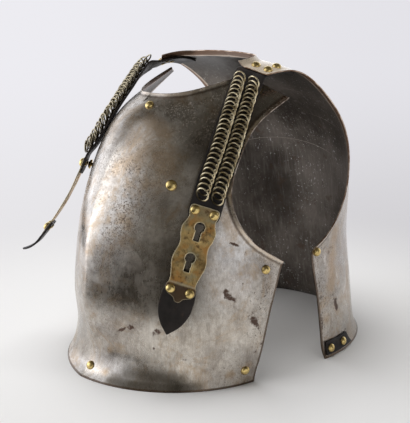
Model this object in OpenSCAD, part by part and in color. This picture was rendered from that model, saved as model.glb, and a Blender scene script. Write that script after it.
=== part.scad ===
// Cavalry cuirass: a steel breastplate and a steel backplate that stand on their lower
// edges and lean together at the shoulders, with two chain-covered shoulder straps.
// The breast faces -Y, the wearer's left is +X, and the plates stand on z = 0.
// Each plate is lofted through stations, from the lower edge up to the shoulders.
// A place on a plate is [u, t]: u runs from 0 at the middle line to 1 at the side edge,
// and t counts the stations from the lower edge.

/* [Whole cuirass] */
// Width across the backplate at its lower edge
cuirass_w = 378; // [350:2:406]
// Depth from the breastplate's front to the backplate's back
cuirass_d = 514; // [480:2:550]
// Height of the backplate at the neck
cuirass_h = 447; // [415:1:480]

/* [Plates] */
// Thickness of the breastplate steel
breast_th = 2.6; // [1.5:0.1:4]
// Thickness of the backplate steel
back_th = 1.8; // [1:0.1:3]
// How far the turned edge round the neck stands out on the breastplate
breast_neck_lip = 4; // [0:0.5:8]
// How far the turned edge round the armholes stands out on the breastplate
breast_arm_lip = 3; // [0:0.5:8]
// How far the turned collar round the neck stands out on the backplate
back_neck_lip = 6; // [0:0.5:12]
// How far the turned edge round the armholes stands out on the backplate
back_arm_lip = 2; // [0:0.5:8]
// Width over which the turned edges rise
lip_w = 9; // [5:1:20]
// How far the outer corner of the breastplate's right shoulder is bent up
bent_shoulder = 24; // [0:1:40]

/* [Rivets and studs] */
// Diameter of a domed rivet head
rivet_head_d = 11.5; // [6:0.5:16]
// Height of a domed rivet head
rivet_head_h = 4.2; // [2:0.1:8]
// Diameter of a rivet's shank
rivet_shank_d = 4; // [2:0.5:6]
// Clearance between a shank and its hole, on the radius
shank_clearance = 0.05; // [0.02:0.01:0.1]
// Gap under a head and over a tail, so that the pieces only just touch
seat_gap = 0.15; // [0.05:0.05:0.5]
// Gap under a head in the hollow of the flared lower edge
flare_seat_gap = 0.6; // [0.2:0.1:1]
// Gap under a head that sits beside a turned edge
turned_seat_gap = 1.3; // [0.5:0.1:2]
// Diameter of a strap stud's head, which passes the round part of a keyhole
stud_head_d = 13; // [8:0.5:13.5]
// Height of a stud's neck under its head
stud_neck_h = 2.6; // [2:0.1:8]
// Diameter of a stud's neck, which slides in the slot of a keyhole
stud_neck_d = 6; // [4:0.5:7.5]

/* [Shoulder straps] */
// Width of the strap leather
strap_w = 44; // [30:1:60]
// Thickness of the strap leather
strap_th = 3; // [2:0.5:5]
// Distance from one chain row's middle to the other's
row_gap = 22; // [21:1:24]
// Distance from one chain ring to the next along a row
ring_pitch = 7; // [7:0.1:7.4]
// Radius of a chain ring, to the middle of its wire
ring_r = 9; // [8.8:0.1:9.2]
// Thickness of the ring wire
ring_wire_d = 2; // [1.6:0.1:2]
// How much every other ring rolls to the left or right
ring_roll = 21; // [20:1:22]
// How much every ring tips along the row
ring_tip = 19; // [18:1:20]

/* [Keyhole plates] */
// Thickness of the brass keyhole plate
plate_th = 1.5; // [1:0.1:2.5]
// Half width of the plate at a keyhole
plate_lobe = 23.5; // [18:0.5:28]
// Half width of the plate at its waist
plate_waist = 20; // [15:0.5:24]
// Diameter of the round part of a keyhole
keyhole_d = 14; // [13.5:0.1:16]
// Width of a keyhole's slot
keyhole_slot = 8; // [6.5:0.5:9]
// Distance between the two keyholes
keyhole_gap = 43; // [30:1:60]
// Distance from the strap's hinge line to the upper rivets
upper_rivets = 10; // [8:1:14]
// Distance from the strap's hinge line to the lower rivets
lower_rivets = 120; // [100:1:130]
// Length of the left strap's tongue below its bend
left_tongue_l = 43; // [30:1:60]
// Length of the right strap's tongue below its bend
right_tongue_l = 36; // [30:1:60]
// Radius of the left plate's slight bow
left_bow = 900; // [300:50:1500]
// Radius of the right plate's bow
right_bow = 350; // [200:10:900]
// Angle at which the right plate stands away from the breast
right_lean = 1; // [0:0.5:40]

/* [Waist belt stubs] */
// Thickness of the belt leather
belt_th = 2.5; // [1.5:0.5:4]

/* [Hidden] */
$fn = 48;
steel = [0.62, 0.61, 0.60];
dark_steel = [0.45, 0.44, 0.43];
brass = [0.72, 0.58, 0.30];
leather = [0.13, 0.11, 0.10];

hole_r = rivet_shank_d / 2 + shank_clearance;
piece_gap = 0.35;

// Stations of the breastplate, from the lower edge up, in round millimetres for a cuirass
// of 378 x 514 x 447: [middle y, middle z, side x, side y, side z, sharpness of the ridge]
breast_stations = [
    [-1, 0, 175, 178, 0, 0.10],
    [12, 14, 177, 179, 14, 0.12],
    [19, 34, 182, 181, 34, 0.16],
    [20, 60, 187, 184, 60, 0.20],
    [10, 104, 188, 195, 104, 0.25],
    [12, 158, 185, 216, 158, 0.22],
    [24, 223, 177, 243, 223, 0.14],
    [53, 297, 167, 271, 278, 0.05],
    [89, 356, 158, 293, 312, 0],
    [137, 396, 152, 307, 335, 0],
    [219, 436, 147, 321, 360, 0]
];
breast_spread = 86.4;

// Stations of the backplate, from the lower edge up, in the same order
back_stations = [
    [514, 0, 189, 314, 0, 0],
    [505, 14, 185, 311, 14, 0],
    [499, 34, 184, 308, 34, 0],
    [495, 59, 183, 305, 60, 0],
    [489, 113, 180, 297, 116, 0],
    [483, 175, 177, 289, 175, 0],
    [471, 247, 182, 302, 243, 0],
    [439, 328, 182, 313, 345, 0],
    [365, 400, 173, 304, 397, 0],
    [284, 445, 165, 285, 411, 0],
    [214, 447, 155, 267, 400, 0]
];
back_spread = 90;

// The stations at the size of this cuirass
scale_x = cuirass_w / 378;
scale_y = cuirass_d / 514;
scale_z = cuirass_h / 447;
function sized(stations) = [
    for (v = stations) [v[0] * scale_y, v[1] * scale_z, v[2] * scale_x, v[3] * scale_y, v[4] * scale_z, v[5]]
];
breast_lines = sized(breast_stations);
back_lines = sized(back_stations);

// Edges of the armholes and necks as places [u, t], from the front middle or the armpit
breast_arm = [
    [1, 5.22], [0.904, 5.43], [0.821, 5.66], [0.752, 5.96], [0.70, 6.31], [0.67, 6.67], [0.663, 7.07],
    [0.669, 7.53], [0.674, 8.04], [0.678, 8.63], [0.688, 9.14], [0.707, 9.57], [0.73, 10]
];
breast_neck = [
    [0, 8.97], [0.079, 8.99], [0.153, 9.05], [0.215, 9.16], [0.263, 9.3], [0.302, 9.46], [0.338, 9.63],
    [0.372, 9.8], [0.40, 10]
];
back_arm = [
    [1, 4.99], [0.915, 5.22], [0.842, 5.5], [0.777, 5.81], [0.717, 6.13], [0.671, 6.43], [0.638, 6.74],
    [0.612, 7.11], [0.598, 7.48], [0.605, 7.86], [0.624, 8.29], [0.64, 8.77], [0.647, 9.36], [0.63, 10]
];
back_neck = [[0, 9.11], [0.1, 9.12], [0.2, 9.15], [0.29, 9.22], [0.35, 9.42], [0.38, 9.68], [0.385, 10]];

// A plate: [stations, spread, facing, thickness, armhole edge, neck edge, arm lip, neck lip]
breast = [breast_lines, breast_spread, -1, breast_th, breast_arm, breast_neck, breast_arm_lip, breast_neck_lip];
back = [back_lines, back_spread, 1, back_th, back_arm, back_neck, back_arm_lip, back_neck_lip];

// Columns in half a plate, rows below the armpit line and rows above it
cols = 16;
low_rows = 24;
up_rows = 22;
rows = low_rows + up_rows;

// Vectors and smooth curves
function unit(v) = v / norm(v);
function mix(a, b, f) = a + (b - a) * f;
function flip(p) = [-p[0], p[1], p[2]];
function smooth(a, b, c, d, f) =
    0.5 * (2 * b + (c - a) * f + (2 * a - 5 * b + 4 * c - d) * f * f + (3 * b - a - 3 * c + d) * pow(f, 3));
function along(list, t) =
    let (
        n = len(list) - 1,
        c = min(max(t, 0), n - 0.000001),
        i = floor(c),
        a = i > 0 ? list[i - 1] : 2 * list[0] - list[1],
        d = i < n - 1 ? list[i + 2] : 2 * list[n] - list[n - 1]
    )
    smooth(a, list[i], list[i + 1], d, c - i);

// A point on a plate's outer face, and the direction square to it
function skin(plate, u, t) =
    let (
        v = along(plate[0], t),
        full = plate[1],
        across = sin(full * u) / sin(full),
        round = (1 - cos(full * u)) / (1 - cos(full))
    )
    [
        v[2] * across,
        v[0] + (v[3] - v[0]) * ((1 - v[5]) * round + v[5] * across),
        v[1] + (v[4] - v[1]) * round
    ];
function out(plate, u, t) =
    let (
        e = 0.004,
        t1 = min(t, len(plate[0]) - 1 - e)
    )
    unit(plate[2] * cross(
        skin(plate, u, t1 + e) - skin(plate, u, t1 - e),
        skin(plate, u + e, t1) - skin(plate, u - e, t1)
    ));

// The grid over half a plate. Below the armpit line a row runs from the middle to the
// side, and above it a row runs from the neck to the armhole.
function armpit_line(plate, s) = [s, mix(plate[4][0][1], plate[5][0][1], pow(1 - s, 1.6))];
function edge_at(edge, w) = along(edge, w * (len(edge) - 1));
function crowd(s) = s + 0.35 * sin(360 * s) / -6.2832;
function place(plate, i, j) =
    let (
        s = i / cols,
        sc = crowd(s)
    )
    j <= low_rows
    ? let (w = pow(j / low_rows, 1.25), top = armpit_line(plate, s)) [s, top[1] * w]
    : let (
        w = (j - low_rows) / up_rows,
        n = edge_at(plate[5], w),
        a = edge_at(plate[4], w),
        d = armpit_line(plate, mix(s, sc, w)),
        n0 = plate[5][0],
        a0 = plate[4][0],
        n1 = edge_at(plate[5], 1),
        a1 = edge_at(plate[4], 1),
        q = mix(s, sc, w)
    )
    mix(n, a, q) + mix(d, mix(n1, a1, q), w) - mix(mix(n0, a0, q), mix(n1, a1, q), w);

// Height of the turned edges at a point, from its distance to the edge
edge_steps = 36;
function edge_points(plate, edge) = [
    for (k = [0:edge_steps])
        let (e = edge_at(edge, k / edge_steps))
        skin(plate, e[0], e[1])
];
function lip(d, h) = d < lip_w ? h * pow(1 - d / lip_w, 2) : 0;
function span(p, a, b) = norm(p - mix(a, b, min(max((p - a) * (b - a) / ((b - a) * (b - a)), 0), 1)));
function reach(points, p) = min([for (k = [1:len(points) - 1]) span(p, points[k - 1], points[k])]);

function half_plate(plate) =
    let (
        arm = edge_points(plate, plate[4]),
        neck = edge_points(plate, plate[5])
    )
    [for (j = [0:rows]) [for (i = [0:cols])
        let (
            c = place(plate, i, j),
            p = skin(plate, c[0], c[1]),
            h = max(lip(reach(arm, p), plate[6]), lip(reach(neck, p), plate[7]))
        )
        h > 0 ? p + h * out(plate, c[0], c[1]) : p
    ]];
function grid_normal(g, i, j, facing) =
    let (
        left = i > 0 ? g[j][i - 1] : j <= low_rows ? flip(g[j][1]) : g[j][0],
        right = i < cols ? g[j][i + 1] : g[j][i],
        under = j > 0 ? g[j - 1][i] : g[j][i],
        over = j < rows ? g[j + 1][i] : g[j][i],
        n = unit(facing * cross(over - under, right - left))
    )
    j == 0 ? unit([n[0], n[1], 0]) : n;

// The right half mirrors the left one, apart from its bent shoulder
function shoulder_lift(i, j, bend) = j > low_rows ? bend * pow((j - low_rows) / up_rows, 3) * i / cols : 0;
function right_half(g, bend) = [
    for (j = [0:rows]) [for (i = [0:cols]) flip(g[j][i]) + [0, 0, shoulder_lift(i, j, bend)]]
];

// One closed sheet from the grids of a plate's left and right halves
half_n = (cols + 1) * (rows + 1);
layer_n = half_n + cols * (low_rows + 1) + (cols + 1) * up_rows;
function other_id(i, j) =
    half_n + (j <= low_rows
    ? j * cols + i - 1
    : cols * (low_rows + 1) + (j - low_rows - 1) * (cols + 1) + i);
function id(layer, side, i, j) =
    layer * layer_n + (side > 0 || (i == 0 && j <= low_rows)
    ? j * (cols + 1) + i
    : other_id(i, j));
function listed(g, mirrored) = concat(
    [for (j = [0:rows]) for (i = [0:cols]) g[j][i]],
    [for (j = [0:low_rows]) for (i = [1:cols]) mirrored[j][i]],
    [for (j = [low_rows + 1:rows]) for (i = [0:cols]) mirrored[j][i]]
);
function quad(a, b, c, d, turned) = turned ? [[a, b, c], [a, c, d]] : [[a, c, b], [a, d, c]];
function rim() = concat(
    [for (i = [cols:-1:1]) [-1, i, 0]],
    [for (i = [0:cols]) [1, i, 0]],
    [for (j = [1:rows]) [1, cols, j]],
    [for (i = [cols - 1:-1:0]) [1, i, rows]],
    [for (j = [rows - 1:-1:low_rows]) [1, 0, j]],
    [for (j = [low_rows + 1:rows]) [-1, 0, j]],
    [for (i = [1:cols]) [-1, i, rows]],
    [for (j = [rows - 1:-1:1]) [-1, cols, j]]
);
function inner_of(g, plate, side) = [
    for (j = [0:rows]) [for (i = [0:cols]) g[j][i] - side * plate[3] * grid_normal(g, i, j, plate[2])]
];

module sheet(plate, bend = 0) {
    outer = half_plate(plate);
    outer_right = right_half(outer, bend);
    inner = inner_of(outer, plate, 1);
    inner_right = inner_of(outer_right, plate, -1);
    turned = plate[2] > 0;
    loop = rim();
    n = len(loop);
    faces = concat(
        [for (layer = [0, 1]) for (side = [1, -1]) for (j = [0:rows - 1]) for (i = [0:cols - 1])
            let (
                swap = (turned ? 1 : 0) + layer + (side < 0 ? 1 : 0),
                a = id(layer, side, i, j),
                b = id(layer, side, i + 1, j),
                c = id(layer, side, i + 1, j + 1),
                d = id(layer, side, i, j + 1)
            )
            each quad(a, b, c, d, swap % 2 == 1)],
        [for (k = [0:n - 1])
            let (
                p = loop[k],
                q = loop[(k + 1) % n],
                a = id(1, p[0], p[1], p[2]),
                b = id(1, q[0], q[1], q[2]),
                c = id(0, q[0], q[1], q[2]),
                d = id(0, p[0], p[1], p[2])
            )
            each quad(a, b, c, d, turned)]
    );
    points = concat(listed(outer, outer_right), listed(inner, inner_right));
    polyhedron(points = points, faces = faces, convexity = 8);
}

// Puts things at a place on a plate, with z pointing out of it
module face_out(v) {
    rotate([0, acos(v[2]), atan2(v[1], v[0])]) children();
}
module on_skin(plate, u, t) {
    translate(skin(plate, u, t)) face_out(out(plate, u, t)) children();
}
module both_sides() {
    children();
    mirror([1, 0, 0]) children();
}
module drill(plate, u, t) {
    on_skin(plate, u, t) cylinder(h = 30, r = hole_r, center = true);
}

// A domed rivet through a stack of the given thickness, with its outer face at z = 0
tail_d = 6.5;
tail_h = 1.2;
module rivet(grip, head_gap = seat_gap, tail_gap = 2 * seat_gap) {
    foot = -grip - tail_gap;
    rotate_extrude() polygon(concat(
        [
            [0, foot - tail_h], [tail_d / 2, foot - tail_h], [tail_d / 2, foot],
            [rivet_shank_d / 2, foot], [rivet_shank_d / 2, head_gap], [rivet_head_d / 2, head_gap]
        ],
        [for (a = [10:10:90]) [rivet_head_d / 2 * cos(a), head_gap + rivet_head_h * sin(a)]]
    ));
}

// A stud: a domed head on a slim neck, over a round foot
module stud(grip) {
    foot = -grip - 2 * seat_gap;
    low = 2 * seat_gap;
    top = low + 1.2 + stud_neck_h;
    rotate_extrude() polygon(concat(
        [
            [0, foot - tail_h], [tail_d / 2, foot - tail_h], [tail_d / 2, foot],
            [rivet_shank_d / 2, foot], [rivet_shank_d / 2, low], [stud_head_d / 2 - 1.5, low],
            [stud_head_d / 2 - 1.5, low + 1.2], [stud_neck_d / 2, low + 1.2],
            [stud_neck_d / 2, top], [stud_head_d / 2, top]
        ],
        [for (a = [10:10:90]) [stud_head_d / 2 * cos(a), top + 4.5 * sin(a)]]
    ));
}

// Places of the rivets
neck_rivet_place = [0.07, 8.67];
flare_rivet_place = [0.02, 1.05];
breast_corner_places = [[0.9, 5.12], [0.912, 1.46]];
stud_place = [0.4, 6.86];
back_corner_place = [0.965, 4.9];
anchor_places = [[0.453, 9.73], [0.562, 9.72], [0.535, 9.34]];
belt_places = [[0.945, 0.95], [0.832, 0.95]];

module breastplate() {
    color(steel) difference() {
        sheet(breast, bent_shoulder);
        drill(breast, neck_rivet_place[0], neck_rivet_place[1]);
        drill(breast, flare_rivet_place[0], flare_rivet_place[1]);
        both_sides() {
            for (p = breast_corner_places) drill(breast, p[0], p[1]);
            drill(breast, stud_place[0], stud_place[1]);
        }
    }
}

module breast_rivets() {
    color(brass) {
        on_skin(breast, neck_rivet_place[0], neck_rivet_place[1]) rivet(breast_th, turned_seat_gap);
        on_skin(breast, flare_rivet_place[0], flare_rivet_place[1]) rivet(breast_th, flare_seat_gap);
        both_sides() {
            for (p = breast_corner_places) {
                on_skin(breast, p[0], p[1]) rivet(breast_th, flare_seat_gap, 3 * seat_gap);
            }
        }
    }
}

module left_stud() {
    color(brass) on_skin(breast, stud_place[0], stud_place[1]) stud(breast_th);
}

module right_stud() {
    mirror([1, 0, 0]) left_stud();
}

module backplate() {
    color(dark_steel) difference() {
        sheet(back);
        both_sides() {
            drill(back, back_corner_place[0], back_corner_place[1]);
            for (p = anchor_places) drill(back, p[0], p[1]);
            for (p = belt_places) drill(back, p[0], p[1]);
        }
    }
}

module back_rivets() {
    color(brass) both_sides() {
        on_skin(back, back_corner_place[0], back_corner_place[1]) rivet(back_th, turned_seat_gap);
    }
}

// A closed slab between two grids of points that match row for row
module slab(low, high, turned = false) {
    n = len(low) - 1;
    m = len(low[0]) - 1;
    w = m + 1;
    layer = (n + 1) * w;
    loop = concat(
        [for (i = [0:m - 1]) i],
        [for (j = [0:n - 1]) j * w + m],
        [for (i = [m:-1:1]) n * w + i],
        [for (j = [n:-1:1]) j * w]
    );
    k_n = len(loop);
    points = concat([for (row = high) for (p = row) p], [for (row = low) for (p = row) p]);
    faces = concat(
        [for (j = [0:n - 1]) for (i = [0:m - 1])
            let (a = j * w + i)
            each quad(a, a + 1, a + w + 1, a + w, turned)],
        [for (j = [0:n - 1]) for (i = [0:m - 1])
            let (a = layer + j * w + i)
            each quad(a, a + 1, a + w + 1, a + w, !turned)],
        [for (k = [0:k_n - 1])
            let (p = loop[k], q = loop[(k + 1) % k_n])
            each quad(p + layer, q + layer, q, p, turned)]
    );
    polyhedron(points = points, faces = faces, convexity = 4);
}

// A leather patch that follows a plate between four places [u, t], from one height above
// the outer face to another
module patch(plate, a, b, c, d, low, high, nu = 8, nt = 10) {
    function grid(h) = [for (j = [0:nt]) [for (i = [0:nu])
        let (
            q = mix(mix(a, b, i / nu), mix(d, c, i / nu), j / nt)
        )
        skin(plate, q[0], q[1]) + h * out(plate, q[0], q[1])
    ]];
    slab(grid(low), grid(high), plate[2] > 0);
}

// Each strap's route: places [u, t, height of the leather over the breastplate], after its
// start at the front edge of the backplate's shoulder. The left one hangs beside its stud.
// The right one hangs further forward, and its end lies over its stud.
strap_root_places = [[0.385, 10], [0.62, 10], [0.60, 8.85], [0.37, 8.85]];
strap_start = 0.5025;
left_places = [
    [0.50, 9.52, 8.8], [0.55, 8.98, 3], [0.58, 8.35, 2.6], [0.59, 7.6, 3.2], [0.58, 7.01, 3.6], [0.57, 6.5, 3.5]
];
right_places = [
    [0.462, 9.6, 26], [0.425, 9.2, 16.5], [0.388, 8.8, 7.2], [0.36, 8.4, 2.2], [0.355, 8, 1],
    [0.355, 7.6, 1.2], [0.355, 7.3, 4.4], [0.355, 7.02, 10]
];

root_top = skin(back, strap_start, 10) - (back_th + piece_gap) * out(back, strap_start, 10);
root_across = unit(skin(back, 0.62, 10) - skin(back, 0.385, 10));
root_ahead = unit(skin(back, strap_start, 10) - skin(back, strap_start, 9.9));

function lying(q) = skin(breast, q[0], q[1]) + (strap_th / 2 + q[2]) * out(breast, q[0], q[1]);

// Directions of a keyhole plate that hangs from one place towards another and leans out:
// [across, ahead, outward]
function plate_axes(top, foot, lean) =
    let (
        chord = unit(skin(breast, foot[0], foot[1]) - skin(breast, top[0], top[1])),
        middle = mix(top, foot, 0.5),
        across = unit(cross(out(breast, middle[0], middle[1]), chord)),
        square = cross(chord, across)
    )
    [across, cos(lean) * chord + sin(lean) * square, cos(lean) * square - sin(lean) * chord];

// Middle points and width directions of a strap, with one more point after its end, so
// that the end runs straight on into the keyhole plate
function strap_middles(places, axes) =
    let (
        first = lying(places[0]),
        last = len(places) - 1,
        top = root_top + 3.1 * root_ahead,
        ahead = unit(first - top),
        square = unit(cross(ahead, root_across))
    )
    concat(
        [top - strap_th / 2 * square],
        [for (q = places) lying(q)],
        [lying(places[last - 1]) + 2 * norm(lying(places[last]) - lying(places[last - 1])) * axes[1]]
    );
function strap_widths(places, middles, axes) = concat(
    [root_across],
    [for (k = [0:len(places) - 2])
        let (ahead = unit(middles[k + 2] - middles[k]))
        unit(cross(out(breast, places[k][0], places[k][1]), ahead))],
    [axes[0], axes[0]]
);

// Frames along a strap, each [middle, across, up the strap, outward]
strap_steps = 42;
function strap_frames(places, axes) =
    let (
        c = strap_middles(places, axes),
        w = strap_widths(places, c, axes),
        last = len(c) - 2,
        e = 0.01
    )
    [for (k = [0:strap_steps])
        let (
            t = last * k / strap_steps,
            ahead = unit(along(c, t + e) - along(c, max(t - e, 0))),
            square = unit(cross(ahead, along(w, t)))
        )
        [along(c, t), cross(square, ahead), -ahead, square]];
function lengths(frames, k = 0, sum = 0) =
    k >= len(frames) ? [] :
    let (here = sum + (k > 0 ? norm(frames[k][0] - frames[k - 1][0]) : 0))
    concat([here], lengths(frames, k + 1, here));
function frame_at(frames, run, s) =
    let (
        i = [for (k = [0:len(run) - 2]) if (run[k] <= s && s <= run[k + 1]) k][0],
        f = (s - run[i]) / (run[i + 1] - run[i])
    )
    [for (k = [0:3])
        let (v = mix(frames[i][k], frames[i + 1][k], f))
        k == 0 ? v : unit(v)];

left_axes = plate_axes([0.57, 6.34], [0.49, 4.74], 0);
right_axes = plate_axes([0.355, 7.08], [0.355, 6.5], right_lean);
left_frames = strap_frames(left_places, left_axes);
right_frames = strap_frames(right_places, right_axes);

module on_frame(f) {
    x = unit(cross(f[2], f[3]));
    y = cross(f[3], x);
    multmatrix([
        [x[0], y[0], f[3][0], f[0][0]],
        [x[1], y[1], f[3][1], f[0][1]],
        [x[2], y[2], f[3][2], f[0][2]],
        [0, 0, 0, 1]
    ]) children();
}

module strap_root() {
    q = strap_root_places;
    color(leather) difference() {
        patch(back, q[0], q[1], q[2], q[3], -back_th - piece_gap - strap_th, -back_th - piece_gap);
        for (p = anchor_places) drill(back, p[0], p[1]);
    }
}

module anchor_rivets() {
    color(brass) for (p = anchor_places) {
        on_skin(back, p[0], p[1]) rivet(back_th + piece_gap + strap_th, 2 * seat_gap);
    }
}

module strap_band(frames) {
    function row(f, h) = [f[0] - strap_w / 2 * f[1] + h * f[3], f[0] + strap_w / 2 * f[1] + h * f[3]];
    color(leather) slab(
        [for (f = frames) row(f, -strap_th / 2)],
        [for (f = frames) row(f, strap_th / 2)], true
    );
}

// The frames of a line that runs beside a strap's middle
function beside(frames, x) =
    let (
        n = len(frames) - 1,
        p = [for (f = frames) f[0] + x * f[1]]
    )
    [for (k = [0:n])
        let (
            up = unit(p[max(k - 1, 0)] - p[min(k + 1, n)]),
            square = unit(cross(frames[k][1], up))
        )
        [p[k], cross(up, square), up, square]];

// One row of interlinked rings, laid from the strap's lower end upwards. Each ring rolls
// the other way from its neighbour and tips so that it lies over the one before.
ring_seat = 0.6;
ring_lean = sqrt(pow(sin(ring_tip), 2) + pow(sin(ring_roll) * cos(ring_tip), 2));
ring_rise = ring_wire_d / 2 + ring_r * ring_lean + ring_seat;
ring_reach = ring_r + ring_wire_d / 2;
chain_foot = 2.6;
chain_top = 6.8;
module ring_row(frames, x) {
    line = beside(frames, x);
    run = lengths(line);
    last = run[len(run) - 1] - ring_reach - chain_foot;
    count = floor((last - ring_reach - chain_top) / ring_pitch);
    color(brass) for (k = [0:count]) {
        on_frame(frame_at(line, run, last - (count - k) * ring_pitch))
            translate([0, 0, strap_th / 2 + ring_rise])
                rotate([ring_tip, 0, 0]) rotate([0, k % 2 == 0 ? ring_roll : -ring_roll, 0])
                    rotate_extrude() translate([ring_r, 0]) circle(d = ring_wire_d, $fn = 14);
    }
}

// The keyhole plate's own frame: x across the strap, y up it and z outward, from the
// hinge line at the strap's lower end. Everything follows an arc of the given radius.
plate_gap = 0.1;
function arc_y(bow, s) = -bow * sin(s / bow * 57.2958);
function plate_frame(frames, axes) =
    [frames[strap_steps][0] + strap_th / 2 * axes[2], axes[0], -axes[1], axes[2]];
module at_arc(bow, s) {
    a = s / bow * 57.2958;
    translate([0, -bow * sin(a), bow * (1 - cos(a))]) rotate([-a, 0, 0]) children();
}
module bent(bow, low, high) {
    intersection() {
        translate([0, 0, -20]) linear_extrude(20 + min(100, 0.9 * bow)) children();
        translate([0, 0, bow]) rotate([0, 90, 0]) difference() {
            cylinder(h = 2 * strap_w, r = bow - low, center = true, $fn = 360);
            cylinder(h = 3 * strap_w, r = bow - high, center = true, $fn = 360);
        }
    }
}

// Half widths of the keyhole plate down its length, each [distance, half width]
keyhole_1 = 37;
keyhole_2 = keyhole_1 + keyhole_gap;
plate_outline = [
    [2, 15.5], [4, 19.5], [8, 20.5], [14, 20], [19, 18.6], [25, 20], [keyhole_1 - 3, plate_lobe],
    [keyhole_1 + 8, plate_lobe - 0.7], [keyhole_1 + 15, plate_waist + 0.6], [keyhole_1 + 21, plate_waist],
    [keyhole_1 + 27, plate_waist + 0.8], [keyhole_2 - 6, plate_lobe - 0.3], [keyhole_2 + 3, plate_lobe],
    [keyhole_2 + 14, plate_lobe - 2.5], [keyhole_2 + 24, plate_waist - 1.2], [lower_rivets - 10, 18.6],
    [lower_rivets - 5, 20.5], [lower_rivets + 1, 20.6], [lower_rivets + 6, 17], [lower_rivets + 9, 10],
    [lower_rivets + 11, 6.5], [lower_rivets + 14, 4.5], [lower_rivets + 16, 2]
];
tongue_root_outline = [
    [lower_rivets - 9, 18], [lower_rivets - 5, 21.5], [lower_rivets, 22],
    [lower_rivets + 8, 23], [lower_rivets + 17, 23]
];
function tongue_outline(l) = [
    [0, 23], [0.19 * l, 22.5], [0.37 * l, 20.5], [0.56 * l, 17],
    [0.75 * l, 11.5], [0.88 * l, 6], [l, 0.8]
];
strap_end_outline = [
    [piece_gap, strap_w / 2], [12, strap_w / 2], [17, 20.5], [21, 17.5], [24.5, 12.5], [26.5, 6], [27, 1]
];
module outline(list, bow) {
    n = len(list) - 1;
    side = [for (k = [0:3 * n]) along(list, k / 3)];
    polygon(concat(
        [for (p = side) [p[1], arc_y(bow, p[0])]],
        [for (k = [len(side) - 1:-1:0]) [-side[k][1], arc_y(bow, side[k][0])]]
    ));
}
module keyhole() {
    translate([0, 6]) circle(d = keyhole_d, $fn = 48);
    translate([-keyhole_slot / 2, -13]) square([keyhole_slot, 19]);
}
module plate_drills(bow, s) {
    for (x = [-13.3, 13.3]) {
        at_arc(bow, s) translate([x, 0, 0]) cylinder(h = 20, r = hole_r, center = true);
    }
}
module keyhole_plate(bow) {
    color(brass) difference() {
        bent(bow, plate_gap, plate_gap + plate_th) outline(plate_outline, bow);
        for (s = [keyhole_1, keyhole_2]) {
            at_arc(bow, s) translate([0, 0, -10]) linear_extrude(20) keyhole();
        }
        plate_drills(bow, upper_rivets);
        plate_drills(bow, lower_rivets);
    }
}
module strap_end(bow) {
    color(leather) difference() {
        bent(bow, -strap_th, 0) outline(strap_end_outline, bow);
        plate_drills(bow, upper_rivets);
    }
}
module plate_rivets(bow, s) {
    color(brass) for (x = [-13.3, 13.3]) {
        at_arc(bow, s) translate([x, 0, plate_gap + plate_th])
            rivet(strap_th + plate_gap + plate_th);
    }
}
module tongue_root(bow) {
    color(leather) difference() {
        bent(bow, -strap_th, 0) outline(tongue_root_outline, bow);
        plate_drills(bow, lower_rivets);
    }
}
tongue_from = lower_rivets + 17 + piece_gap;
module tongue(bow, curl, l, dip) {
    color(leather) at_arc(bow, tongue_from + strap_th * sin(dip)) rotate([dip, 0, 0])
        bent(curl, -strap_th, 0) outline(tongue_outline(l), curl);
}
left_curl = 500;
right_curl = 44;
right_dip = 8;

left_plate_frame = plate_frame(left_frames, left_axes);
right_plate_frame = plate_frame(right_frames, right_axes);

// Left side
module left_strap_root() {
    strap_root();
}
module left_anchor_rivets() {
    anchor_rivets();
}
module left_strap() {
    strap_band(left_frames);
}
module left_outer_chain() {
    ring_row(left_frames, row_gap / 2);
}
module left_inner_chain() {
    ring_row(left_frames, -row_gap / 2);
}
module left_strap_end() {
    on_frame(left_plate_frame) strap_end(left_bow);
}
module left_keyhole_plate() {
    on_frame(left_plate_frame) keyhole_plate(left_bow);
}
module left_upper_rivets() {
    on_frame(left_plate_frame) plate_rivets(left_bow, upper_rivets);
}
module left_lower_rivets() {
    on_frame(left_plate_frame) plate_rivets(left_bow, lower_rivets);
}
module left_tongue_root() {
    on_frame(left_plate_frame) tongue_root(left_bow);
}
module left_tongue() {
    on_frame(left_plate_frame) tongue(left_bow, left_curl, left_tongue_l, 0);
}

// Right side
module right_strap_root() {
    mirror([1, 0, 0]) strap_root();
}
module right_anchor_rivets() {
    mirror([1, 0, 0]) anchor_rivets();
}
module right_strap() {
    mirror([1, 0, 0]) strap_band(right_frames);
}
module right_outer_chain() {
    mirror([1, 0, 0]) ring_row(right_frames, row_gap / 2);
}
module right_inner_chain() {
    mirror([1, 0, 0]) ring_row(right_frames, -row_gap / 2);
}
module right_strap_end() {
    mirror([1, 0, 0]) on_frame(right_plate_frame) strap_end(right_bow);
}
module right_keyhole_plate() {
    mirror([1, 0, 0]) on_frame(right_plate_frame) keyhole_plate(right_bow);
}
module right_upper_rivets() {
    mirror([1, 0, 0]) on_frame(right_plate_frame) plate_rivets(right_bow, upper_rivets);
}
module right_lower_rivets() {
    mirror([1, 0, 0]) on_frame(right_plate_frame) plate_rivets(right_bow, lower_rivets);
}
module right_tongue_root() {
    mirror([1, 0, 0]) on_frame(right_plate_frame) tongue_root(right_bow);
}
module right_tongue() {
    mirror([1, 0, 0]) on_frame(right_plate_frame) tongue(right_bow, right_curl, right_tongue_l, right_dip);
}

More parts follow.
